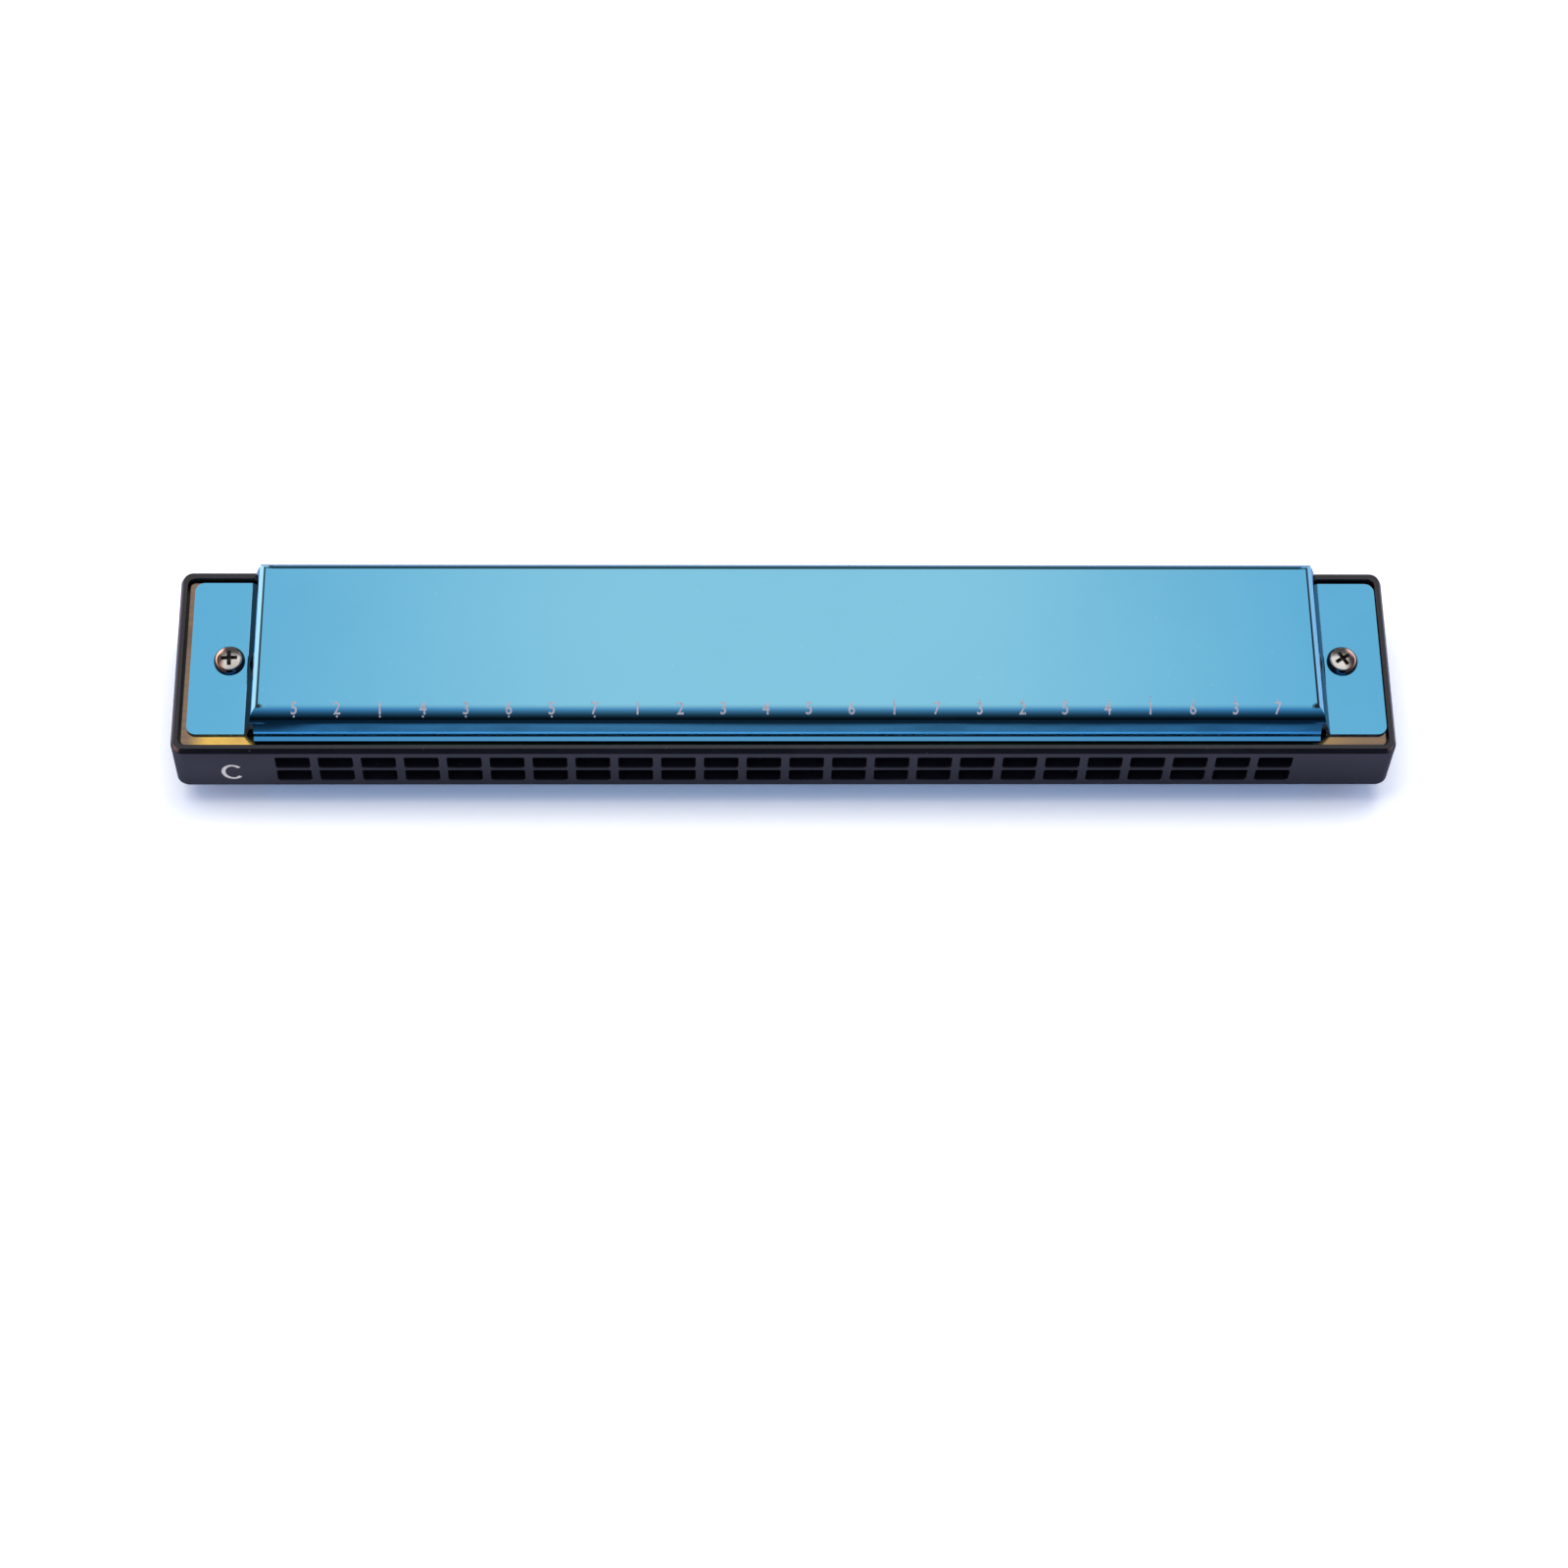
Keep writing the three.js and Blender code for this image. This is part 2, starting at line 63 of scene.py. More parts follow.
comb_low, comb_high = (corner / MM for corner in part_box("comb"))
comb_length = comb_high.x - comb_low.x
comb_width = comb_high.y - comb_low.y
comb_front = comb_low.y
comb_middle = (comb_low.z + comb_high.z) / 2
rim_top = comb_high.z - comb_middle
comb_corner_radius = 1.8
comb_chamfer_run = 0.4
comb_chamfer_drop = 0.9
comb_chamfer_round = 0.12
rim_inner_round = 0.1
plate_low, plate_high = (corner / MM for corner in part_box("upper_reed_plate"))
plate_length = plate_high.x - plate_low.x
plate_width = plate_high.y - plate_low.y
plate_middle = (plate_high.y + plate_low.y) / 2
plate_corner_radius = 0.8
plate_clearance = 0.3
recess_depth = 1.7
seat_height = rim_top - recess_depth
column_count = 24
column_pitch = 6.29
hole_width = 5
hole_height = 3
hole_corner_radius = 0.3
hole_edge_round = 0.14
row_divider = 0.8
front_rail_width = 3
slot_lead = 1.4
chamber_front = comb_front + front_rail_width
slot_front = chamber_front + slot_lead
longest_slot = 17.0
shortest_slot = 10.0
chamber_tail = 4.8
chamber_floor_radius = 0.9
rear_rail_width = 3.3
nail_count = 5
nail_pitch = column_pitch * (column_count - 2) / (nail_count - 1)
nail_line = plate_high.y + plate_clearance - rear_rail_width / 2
nail_hole_radius = 0.55
cover_low, cover_high = (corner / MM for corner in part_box("upper_cover"))
cover_middle = (cover_low.x + cover_high.x) / 2
screw_low, screw_high = (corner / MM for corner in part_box("upper_right_screw"))
screw_reach = (screw_low.x + screw_high.x) / 2 - cover_middle
pilot_radius = 1.0
overrun = 1
corner_steps = 8
edge_steps = 5
nail_hole_sides = 16
screw_hole_sides = 32
smooth_limit = math.radians(35)
dust_strength = 0.12
column_places = {"Columns": column_count, "Pitch": column_pitch}
nail_places = {"Nails": nail_count, "Nail Pitch": nail_pitch, "Nail Line": nail_line}
screw_places = {"Screw Middle": cover_middle, "Screw Reach": screw_reach}


def quarter_turns(steps):
    return [math.pi / 2 * step / steps for step in range(steps + 1)]


def round_loop(length, width, radius, height, middle=0):
    """A level rectangle with round corners and its middle on the Y axis, as points in order."""
    loop = []
    for quarter, (end, side) in enumerate(((1, 1), (-1, 1), (-1, -1), (1, -1))):
        for step in range(corner_steps + 1):
            turn = math.pi / 2 * (quarter + step / corner_steps)
            x = end * (length / 2 - radius) + radius * math.cos(turn)
            y = middle + side * (width / 2 - radius) + radius * math.sin(turn)
            loop.append(Vector((x, y, height)))
    return loop


def carried(outline, axis, stations):
    """Loops of one flat outline, set at several places along the axis that it faces."""
    at = "XYZ".index(axis)
    return [[Vector((*point[:at], place, *point[at:])) for point in outline] for place in stations]


def skinned(name, loops):
    """A closed mesh over loops of equally many points, with a face over the first and the last."""
    shape = bmesh.new()
    rings = [[shape.verts.new(point) for point in loop] for loop in loops]
    for ring, following in zip(rings, rings[1:]):
        for here in range(len(ring)):
            there = (here + 1) % len(ring)
            shape.faces.new((ring[here], ring[there], following[there], following[here]))
    shape.faces.new(reversed(rings[0]))
    shape.faces.new(rings[-1])
    bmesh.ops.recalc_face_normals(shape, faces=shape.faces)
    mesh = bpy.data.meshes.new(name)
    shape.to_mesh(mesh)
    shape.free()
    return mesh


def added(name, data):
    """A new object in the scene."""
    made = bpy.data.objects.new(name, data)
    bpy.context.scene.collection.objects.link(made)
    return made


def shaped(name, loops):
    """An object that only lends its shape, and is thrown away afterwards."""
    return added(name, skinned(name, loops))


def filled(tree, sockets, values):
    """Links each named input to a socket, or sets it to a value."""
    for name, value in values.items():
        if isinstance(value, bpy.types.NodeSocket):
            tree.links.new(value, sockets[name])
        else:
            sockets[name].default_value = value


def node(tree, kind, inputs=(), **settings):
    """A node with its settings made and its inputs filled."""
    made = tree.nodes.new(kind)
    for setting, value in settings.items():
        setattr(made, setting, value)
    filled(tree, made.inputs, dict(inputs))
    return made


def maths(tree, operation, *values):
    return node(tree, "ShaderNodeMath", dict(enumerate(values)), operation=operation).outputs[0]


def plus(tree, first, second):
    return maths(tree, "ADD", first, second)


def minus(tree, first, second):
    return maths(tree, "SUBTRACT", first, second)


def times(tree, first, second):
    return maths(tree, "MULTIPLY", first, second)


def vector(tree, x=0.0, y=0.0, z=0.0):
    return node(tree, "ShaderNodeCombineXYZ", {"X": x, "Y": y, "Z": z}).outputs[0]


def parts_of(tree, place):
    return node(tree, "ShaderNodeSeparateXYZ", {"Vector": place}).outputs


def geometry_tree(name, values):
    """An empty geometry tree with an input for each named value, and its input node's sockets."""
    kinds = {int: "Int", float: "Float", bpy.types.Object: "Object", bpy.types.Material: "Material"}
    tree = bpy.data.node_groups.new(name, "GeometryNodeTree")
    for way in ("OUTPUT", "INPUT"):
        tree.interface.new_socket(name="Geometry", in_out=way, socket_type="NodeSocketGeometry")
    for socket, value in values.items():
        kind = "NodeSocket" + kinds[type(value)]
        tree.interface.new_socket(name=socket, in_out="INPUT", socket_type=kind)
    return tree, tree.nodes.new("NodeGroupInput").outputs


def painted(tree, geometry, material):
    return node(tree, "GeometryNodeSetMaterial", {"Geometry": geometry, "Material": material}).outputs[0]


def boolean(tree, operation, first, *others):
    """Joins solids into one, keeps what they share, or cuts the others from the first."""
    cuts = operation == "DIFFERENCE"
    start = {"Mesh 1": first} if cuts else {}
    made = node(tree, "GeometryNodeMeshBoolean", start, solver="MANIFOLD", operation=operation)
    for solid in others if cuts else (first, *others):
        tree.links.new(solid, made.inputs["Mesh 2"])
    return made.outputs[0]


def end_tree(tree, geometry, material, kept=None):
    """Ends the tree with real geometry in its material, but for faces with a kept one."""
    real = node(tree, "GeometryNodeRealizeInstances", {"Geometry": geometry}).outputs[0]
    last = node(tree, "GeometryNodeSetMaterial", {"Geometry": real, "Material": material})
    if kept:
        own = node(tree, "GeometryNodeMaterialSelection", {"Material": kept}).outputs[0]
        rest = node(tree, "FunctionNodeBooleanMath", {0: own}, operation="NOT").outputs[0]
        tree.links.new(rest, last.inputs["Selection"])
    tree.links.new(last.outputs[0], tree.nodes.new("NodeGroupOutput").inputs[0])
    return tree


def grown(name, mesh, tree, values):
    """The plain mesh that the tree makes from this mesh with these inputs."""
    made = added(name, mesh)
    growth = made.modifiers.new("growth", "NODES")
    growth.node_group = tree
    for socket in tree.interface.items_tree:
        if socket.in_out == "INPUT" and socket.name in values:
            growth[socket.identifier] = values[socket.name]
    seen = made.evaluated_get(bpy.context.evaluated_depsgraph_get())
    plain = bpy.data.meshes.new_from_object(seen)
    bpy.data.objects.remove(made)
    plain.name = name
    return plain


def centred_row(tree, count, gap, depth=0.0, middle=0.0):
    """Points along X at even gaps, on both sides of their middle."""
    half = times(tree, minus(tree, count, 1), -0.5)
    first = plus(tree, times(tree, half, gap), middle)
    line = {"Count": count, "Start Location": vector(tree, first, depth), "Offset": vector(tree, gap)}
    return node(tree, "GeometryNodeMeshLine", line).outputs[0]


def column_row(tree, sizes, depth):
    """A point for each column, at this depth."""
    row = centred_row(tree, sizes["Columns"], sizes["Pitch"])
    offset = {"Geometry": row, "Offset": vector(tree, 0, depth)}
    return node(tree, "GeometryNodeSetPosition", offset).outputs[0]


def column_length(tree, sizes, longest, shortest):
    """A length that falls evenly from the first column to the last."""
    index = tree.nodes.new("GeometryNodeInputIndex").outputs[0]
    last = minus(tree, sizes["Columns"], 1)
    ends = {"Value": index, "From Max": last, "To Min": sizes[longest], "To Max": sizes[shortest]}
    return node(tree, "ShaderNodeMapRange", ends).outputs[0]


def instances(tree, points, shape, scale=(1, 1, 1), rotation=(0, 0, 0)):
    settings = {"Points": points, "Instance": shape, "Scale": scale, "Rotation": rotation}
    return node(tree, "GeometryNodeInstanceOnPoints", settings).outputs[0]


def shape_of(tree, socket):
    return node(tree, "GeometryNodeObjectInfo", {"Object": socket}).outputs["Geometry"]


def rods(tree, points, sides, radius, height):
    """An upright cylinder at each point."""
    bar = {"Vertices": sides, "Radius": radius, "Depth": height}
    return instances(tree, points, node(tree, "GeometryNodeMeshCylinder", bar).outputs[0])


def screw_holes(tree, sizes, radius):
    """Two upright cylinders, one at each cover screw's place."""
    between = times(tree, sizes["Screw Reach"], 2)
    points = centred_row(tree, 2, between, 0.0, sizes["Screw Middle"])
    return rods(tree, points, screw_hole_sides, sizes[radius], sizes["Height"])


def nail_points(tree, sizes):
    return centred_row(tree, sizes["Nails"], sizes["Nail Pitch"], sizes["Nail Line"])


def rim_loops():
    """From the floor of a recess, up and over the rim, to the comb's outside."""
    length = plate_length + 2 * plate_clearance
    width = plate_width + 2 * plate_clearance
    radius = plate_corner_radius + plate_clearance
    loops = [round_loop(length, width, radius, seat_height, plate_middle)]
    for turn in quarter_turns(edge_steps):
        grow = rim_inner_round * (1 - math.cos(turn))
        height = rim_top - rim_inner_round * (1 - math.sin(turn))
        loops.append(round_loop(length + 2 * grow, width + 2 * grow, radius + grow, height, plate_middle))
    slope = math.atan2(comb_chamfer_drop, comb_chamfer_run)
    bends = ((0, slope, comb_chamfer_run, 0), (slope, math.pi / 2 - slope, 0, comb_chamfer_drop))
    for start, bend, run, drop in bends:
        reach = comb_chamfer_round * math.tan(bend / 2)
        for step in range(edge_steps + 1):
            turn = start + bend * step / edge_steps
            across = comb_chamfer_round * (math.sin(turn) - math.sin(start))
            down = comb_chamfer_round * (math.cos(start) - math.cos(turn))
            inset = run + reach * math.cos(start) - across
            height = rim_top - (drop - reach * math.sin(start)) - down
            size = (comb_length - 2 * inset, comb_width - 2 * inset, comb_corner_radius - inset)
            loops.append(round_loop(*size, height))
    return loops


def mouth_loops():
    """A mouth hole's cutter, from in front of the comb into the chamber."""
    places = [(comb_front - overrun, hole_edge_round)]
    for turn in quarter_turns(edge_steps):
        depth = hole_edge_round * (1 - math.cos(turn))
        places.append((comb_front + depth, hole_edge_round * (1 - math.sin(turn))))
    places.append((chamber_front + overrun, 0))
    middle = (row_divider + hole_height) / 2
    loops = []
    for depth, wide in places:
        size = (hole_width + 2 * wide, hole_height + 2 * wide, hole_corner_radius + wide)
        loops.append([Vector((x, depth, middle + y)) for x, y, _ in round_loop(*size, 0)])
    return loops


def chamber_loops():
    """A chamber's cutter of unit depth, with a round bottom edge at its back."""
    usual_depth = slot_front - chamber_front + (longest_slot + shortest_slot) / 2 + chamber_tail
    share = chamber_floor_radius / usual_depth
    floor = row_divider / 2
    side = [(0, floor)]
    for turn in quarter_turns(edge_steps):
        rise = chamber_floor_radius * (1 - math.cos(turn))
        side.append((1 - share * (1 - math.sin(turn)), floor + rise))
    side += [(1, seat_height + overrun), (0, seat_height + overrun)]
    return carried(side, "X", (-hole_width / 2, hole_width / 2))


def comb_tree(values):
    """Cuts both rows of mouth holes and chambers, the screw pilots and the nail holes."""
    tree, sizes = geometry_tree("comb chambers", values)
    columns = column_row(tree, sizes, 0.0)
    behind = column_row(tree, sizes, sizes["Chamber Front"])
    depth = column_length(tree, sizes, "Longest Chamber", "Shortest Chamber")
    stretch = vector(tree, 1.0, depth, 1.0)
    mouth, chamber = shape_of(tree, sizes["Mouth"]), shape_of(tree, sizes["Chamber"])
    over = (0, math.pi, 0)
    cut = boolean(
        tree, "DIFFERENCE", sizes["Geometry"],
        instances(tree, columns, mouth),
        instances(tree, columns, mouth, rotation=over),
        instances(tree, behind, chamber, stretch),
        instances(tree, behind, chamber, stretch, over),
        rods(tree, nail_points(tree, sizes), nail_hole_sides, sizes["Nail Radius"], sizes["Height"]),
        screw_holes(tree, sizes, "Pilot Radius"),
    )
    return end_tree(tree, cut, sizes["Material"])


def finished(name, mesh, body, slot, *stood_for):
    """Puts a piece in its place in the frame, with smooth rounds and flat flats."""
    mesh.transform(Matrix.Scale(MM, 4) @ Matrix.Translation((0, 0, comb_middle)))
    mesh.shade_smooth()
    mesh.set_sharp_from_angle(angle=smooth_limit)
    made = added(name, mesh)
    made.modifiers.new("flat faces", "WEIGHTED_NORMAL").keep_sharp = True
    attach(made, body)
    if stood_for:
        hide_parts(*stood_for)


def effect_group(name, inputs, outputs):
    """An empty shader group with named inputs and outputs, and its two end nodes."""
    group = bpy.data.node_groups.new(name, "ShaderNodeTree")
    for socket, value in inputs.items():
        made = group.interface.new_socket(name=socket, in_out="INPUT", socket_type="NodeSocketFloat")
        made.default_value = value
    for socket in outputs:
        group.interface.new_socket(name=socket, in_out="OUTPUT", socket_type="NodeSocketFloat")
    return group, group.nodes.new("NodeGroupInput").outputs, group.nodes.new("NodeGroupOutput").inputs


def faded(tree, value, low, high, at_low=0.0, at_high=1.0):
    """A value taken smoothly from one range to another."""
    ends = {"Value": value, "From Min": low, "From Max": high, "To Min": at_low, "To Max": at_high}
    return node(tree, "ShaderNodeMapRange", ends, interpolation_type="SMOOTHSTEP").outputs[0]


def blended(tree, share, first, second):
    """A colour between two others."""
    colours = {0: share, 6: first, 7: second}
    return node(tree, "ShaderNodeMix", colours, data_type="RGBA").outputs[2]


def object_place(tree):
    return node(tree, "ShaderNodeTexCoord").outputs["Object"]


def noise(tree, place, scale, detail, **more):
    values = {"Vector": place, "Scale": scale, "Detail": detail, **more}
    return node(tree, "ShaderNodeTexNoise", values).outputs[0]


def bump(tree, height, strength, distance, **more):
    values = {"Height": height, "Strength": strength, "Distance": distance, **more}
    return node(tree, "ShaderNodeBump", values).outputs[0]


def handling_marks():
    """Rubbed and greasy patches: a broad mask, and a fine one for dust."""
    group, given, made = effect_group("handling marks", {"Patch Scale": 60.0}, ["Patches", "Dust"])
    place = object_place(group)
    patches = noise(group, place, given["Patch Scale"], 5.0, Roughness=0.6)
    specks = noise(group, place, 900.0, 2.0)
    dust = faded(group, specks, 0.71, 0.8)
    filled(group, made, {"Patches": faded(group, patches, 0.42, 0.72), "Dust": dust})
    return group


def drawn_lines():
    """Fine lines along X, as rolling, filing and wiping leave them."""
    group, given, made = effect_group("drawn lines", {"Across": 2500.0, "Along": 40.0}, ["Lines"])
    stretch = {0: object_place(group), 1: vector(group, given["Along"], given["Across"], given["Across"])}
    stretched = node(group, "ShaderNodeVectorMath", stretch, operation="MULTIPLY").outputs[0]
    filled(group, made, {"Lines": noise(group, stretched, 1.0, 3.0, Roughness=0.6)})
    return group


marks_group = handling_marks()
lines_group = drawn_lines()


def material_tree(name):
    made = bpy.data.materials.new(name)
    made.use_nodes = True
    return made, made.node_tree, made.node_tree.nodes["Principled BSDF"].inputs


def placed(tree, group, inputs):
    """A shader group set in a material, with its own values."""
    return node(tree, "ShaderNodeGroup", inputs, node_tree=group).outputs


def black_plastic():
    """Satin black moulding: a faint grain, slightly shinier where it is handled."""
    made, tree, skin = material_tree("black moulded plastic")
    marks = placed(tree, marks_group, {"Patch Scale": 70.0})
    body = blended(tree, marks["Patches"], (0.008, 0.0075, 0.011, 1), (0.012, 0.011, 0.016, 1))
    dusty = times(tree, marks["Dust"], dust_strength)
    filled(tree, skin, {
        "Base Color": blended(tree, dusty, body, (0.30, 0.30, 0.33, 1)),
        "Roughness": faded(tree, marks["Patches"], 0, 1, 0.14, 0.22),
        "Normal": bump(tree, noise(tree, object_place(tree), 5200.0, 2.0), 0.3, 0.000006),
    })
    return made


upper_loops = rim_loops()
lower_loops = [[Vector((x, y, -z)) for x, y, z in loop] for loop in reversed(upper_loops)]
comb_values = {
    "Mouth": shaped("mouth cutter", mouth_loops()),
    "Chamber": shaped("chamber cutter", chamber_loops()),
    "Chamber Front": chamber_front,
    "Longest Chamber": slot_front - chamber_front + longest_slot + chamber_tail,
    "Shortest Chamber": slot_front - chamber_front + shortest_slot + chamber_tail,
    "Height": 2 * (seat_height + overrun),
    "Pilot Radius": pilot_radius,
    "Nail Radius": nail_hole_radius,
    **column_places,
    **nail_places,
    **screw_places,
    "Material": black_plastic(),
}
comb_blank = skinned("comb blank", upper_loops + lower_loops)
comb_mesh = grown("harmonica_comb", comb_blank, comb_tree(comb_values), comb_values)
finished("harmonica_comb", comb_mesh, "harmonica", "comb_plastic", "comb")

# Reed plates: one sheet of rolled brass in each recess, nailed to the comb
# along its back edge. Each has a slot for every column, which shorten from
# the low notes to the high ones, and a hole for each reed's rivet.
plate_thickness = 0.9
plate_top = seat_height + plate_thickness
plate_edge_round = 0.06
reed_width = 2.2
reed_play = 0.2
slot_width = reed_width + reed_play
pad_length = 4.0
pad_gap = 0.2
rivet_to_slot = pad_length / 2 + pad_gap
draw_slot_front = chamber_front + pad_gap + pad_length / 2 + rivet_to_slot
rivet_radius = 0.55
rivet_play = 0.12
rivet_hole_radius = rivet_radius + rivet_play
screw_hole_radius = 1.15
nail_radius = 0.45
nail_head_radius = 0.85
nail_head_height = 0.35
nail_depth = 2.4
nail_point = 0.7
nail_tip_radius = 0.1
nail_sides = 20
rivet_hole_sides = 20
crown_steps = 5
plate_tones = ((0.94, 0.60, 0.14), (0.70, 0.43, 0.16))
# Brown at the plate's ends: the brass's own tone at the right end, and at the left end also painted shade
# from the rim wall.
brown_and_shade_ends = (0.24, 0.165, 0.13)
brass_darkening = 0.55
browned_right = (0.06, 0.087)
shaded_brown_left = (-0.0845, -0.0879)
# Painted shadow: near black on the plate's front strip, in front of the cover flap's foot.
foot_shadow_front = (-0.0125, -0.0130)
foot_shadow_ends = (0.0781, 0.0775)
foot_shadow_colour = (0.012, 0.009, 0.006, 1)


def crown(radius, bottom, height):
    """The profile of a rounded head, from its widest ring to near its middle."""
    turns = quarter_turns(crown_steps)[:-1]
    return [(radius * math.cos(turn), bottom + height * math.sin(turn)) for turn in turns]


def turned(name, profile, sides):
    """A closed mesh turned about the Z axis from radii and heights, bottom first."""
    turns = [2 * math.pi * side / sides for side in range(sides)]
    ways = [(math.cos(turn), math.sin(turn)) for turn in turns]
    loops = [[Vector((radius * x, radius * y, height)) for x, y in ways] for radius, height in profile]
    return skinned(name, loops)


def plate_blank():
    """The sheet before its slots are cut, with its edges lightly broken."""
    loops = []
    for inset, height in (
        (plate_edge_round, seat_height),
        (0, seat_height + plate_edge_round),
        (0, plate_top - plate_edge_round),
        (plate_edge_round, plate_top),
    ):
        size = (plate_length - 2 * inset, plate_width - 2 * inset, plate_corner_radius - inset)
        loops.append(round_loop(*size, height, plate_middle))
    return skinned("plate blank", loops)


def blow_or_draw(tree, blow, draw):
    """One value on the odd columns, which sound on the blow, and one on the even ones."""
    index = tree.nodes.new("GeometryNodeInputIndex").outputs[0]
    even = maths(tree, "MODULO", index, 2.0)
    return node(tree, "ShaderNodeMapRange", {"Value": even, "To Min": blow, "To Max": draw}).outputs[0]


def plate_tree(values):
    """Cuts the slots, the rivet holes and the screw holes, and drives the nails in."""
    tree, sizes = geometry_tree("reed plate", values)
    length = column_length(tree, sizes, "Longest Slot", "Shortest Slot")
    front = blow_or_draw(tree, sizes["Blow Slot Front"], sizes["Draw Slot Front"])
    middle = plus(tree, front, times(tree, length, 0.5))
    behind = plus(tree, plus(tree, front, length), sizes["Rivet To Slot"])
    ahead = minus(tree, front, sizes["Rivet To Slot"])
    slots = column_row(tree, sizes, middle)
    rivets = column_row(tree, sizes, blow_or_draw(tree, behind, ahead))
    slot = node(tree, "GeometryNodeMeshCube").outputs[0]
    cut = boolean(
        tree, "DIFFERENCE", sizes["Geometry"],
        instances(tree, slots, slot, vector(tree, sizes["Slot Width"], length, sizes["Height"])),
        rods(tree, rivets, rivet_hole_sides, sizes["Rivet Hole"], sizes["Height"]),
        screw_holes(tree, sizes, "Screw Hole"),
    )
    nails = instances(tree, nail_points(tree, sizes), shape_of(tree, sizes["Nail"]))
    return end_tree(tree, boolean(tree, "UNION", cut, nails), sizes["Material"])


def on_both_sides(mesh, name, body, slot, stood_for):
    """Puts a piece on the comb's upper side and its mirror image below, each named after its side."""
    mirrored = mesh.copy()
    mirrored.transform(Matrix.Diagonal((1, 1, -1, 1)))
    mirrored.flip_normals()
    for side, piece in (("upper", mesh), ("lower", mirrored)):
        piece.name = name.format(side)
        finished(piece.name, piece, body.format(side), slot, stood_for.format(side))


def brass(name, fresh, tarnished, across, roughness, brown_and_shade_colour=None):
    """Brass with the lines of its rolling or filing, tarnish in patches, brown at its ends (at the left end
    partly painted shade), and a painted shadow along the cover flap's foot.
    """
    made, tree, skin = material_tree(name)
    marks = placed(tree, marks_group, {"Patch Scale": 90.0})
    lines = placed(tree, lines_group, {"Across": across, "Along": across / 60})["Lines"]
    body = blended(tree, marks["Patches"], (*fresh, 1), (*tarnished, 1))
    if brown_and_shade_colour:
        along, depth, _ = parts_of(tree, object_place(tree))
        # The brown at the right end is tarnish; at the left end it is also painted shade.
        brown_and_shade_mask = plus(tree, faded(tree, along, *browned_right), faded(tree, along, *shaded_brown_left))
        body = blended(tree, brown_and_shade_mask, body, (*brown_and_shade_colour, 1))
        # Painted shadow: the front strip between the flanges goes almost black where the cover's flap shades
        # it.
        between_ends = faded(tree, maths(tree, "ABSOLUTE", along), *foot_shadow_ends)
        foot_shadowed = times(tree, faded(tree, depth, *foot_shadow_front), between_ends)
        body = blended(tree, foot_shadowed, body, foot_shadow_colour)
    darker = times(tree, faded(tree, lines, 0.35, 0.7), 0.22)
    filled(tree, skin, {
        "Base Color": blended(tree, darker, body, (*(brass_darkening * share for share in fresh), 1)),
        "Roughness": faded(tree, marks["Patches"], 0, 1, roughness, roughness + 0.12),
        "Metallic": 1,
        "Normal": bump(tree, lines, 0.4, 0.000008),
    })
    return made


nail_foot = seat_height - nail_depth
nail_profile = [(nail_tip_radius, nail_foot), (nail_radius, nail_foot + nail_point)]
nail_profile += [(nail_radius, plate_top), (nail_head_radius, plate_top)]
nail_profile += crown(nail_head_radius, plate_top + nail_head_height / 4, 3 * nail_head_height / 4)
plate_values = {
    "Nail": added("nail", turned("nail", nail_profile, nail_sides)),
    "Slot Width": slot_width,
    "Blow Slot Front": slot_front,
    "Draw Slot Front": draw_slot_front,
    "Longest Slot": longest_slot,
    "Shortest Slot": shortest_slot,
    "Rivet To Slot": rivet_to_slot,
    "Rivet Hole": rivet_hole_radius,
    "Height": 2 * (plate_top + overrun),
    "Screw Hole": screw_hole_radius,
    **column_places,
    **nail_places,
    **screw_places,
    "Material": brass("rolled brass", *plate_tones, 1400.0, 0.2, brown_and_shade_ends),
}
plate_mesh = grown("upper_plate", plate_blank(), plate_tree(plate_values), plate_values)
on_both_sides(plate_mesh, "{}_plate", "harmonica", "plate_brass", "{}_reed_plate")

# Reeds: a tapered tongue of thin brass over each slot, with a thick pad that a
# domed rivet holds to the plate. Blow reeds lie on the plate's inner face and
# draw reeds on its outer one, and each tip is set a little off the plate.
reed_tip_width = 2.0
reed_root_thickness = 0.28
reed_tip_thickness = 0.18
reed_tip_lift = 0.3
reed_tip_clearance = 0.2
reed_seat = 0.15
pad_width = 3.0
pad_thickness = 0.45
pad_corner_cut = 0.6
pad_step_run = 0.35
rivet_head_radius = 0.95
rivet_head_height = 0.4
rivet_tail = 0.8
rivet_end_round = 0.05
rivet_head_sink = 0.02
rivet_sides = 20
reed_spans = 8


def reed_blank():
    """A reed with a tongue of unit length, its rivet's axis at the origin and its tip towards +Y."""
    root = pad_length / 2
    sections = [
        (-root, pad_width - 2 * pad_corner_cut, pad_thickness),
        (pad_corner_cut - root, pad_width, pad_thickness),
        (root - pad_step_run, pad_width, pad_thickness),
        (root - pad_step_run / 2, (pad_width + reed_width) / 2, (pad_thickness + reed_root_thickness) / 2),
    ]
    for span in range(reed_spans + 1):
        share = span / reed_spans
        width = reed_width + (reed_tip_width - reed_width) * share
        thickness = reed_root_thickness + (reed_tip_thickness - reed_root_thickness) * share
        sections.append((root + share, width, thickness))
    loops = []
    for along, width, thickness in sections:
        top = reed_seat + thickness
        corners = ((-1, reed_seat), (1, reed_seat), (1, top), (-1, top))
        loops.append([Vector((side * width / 2, along, height)) for side, height in corners])
    return skinned("reed blank", loops)


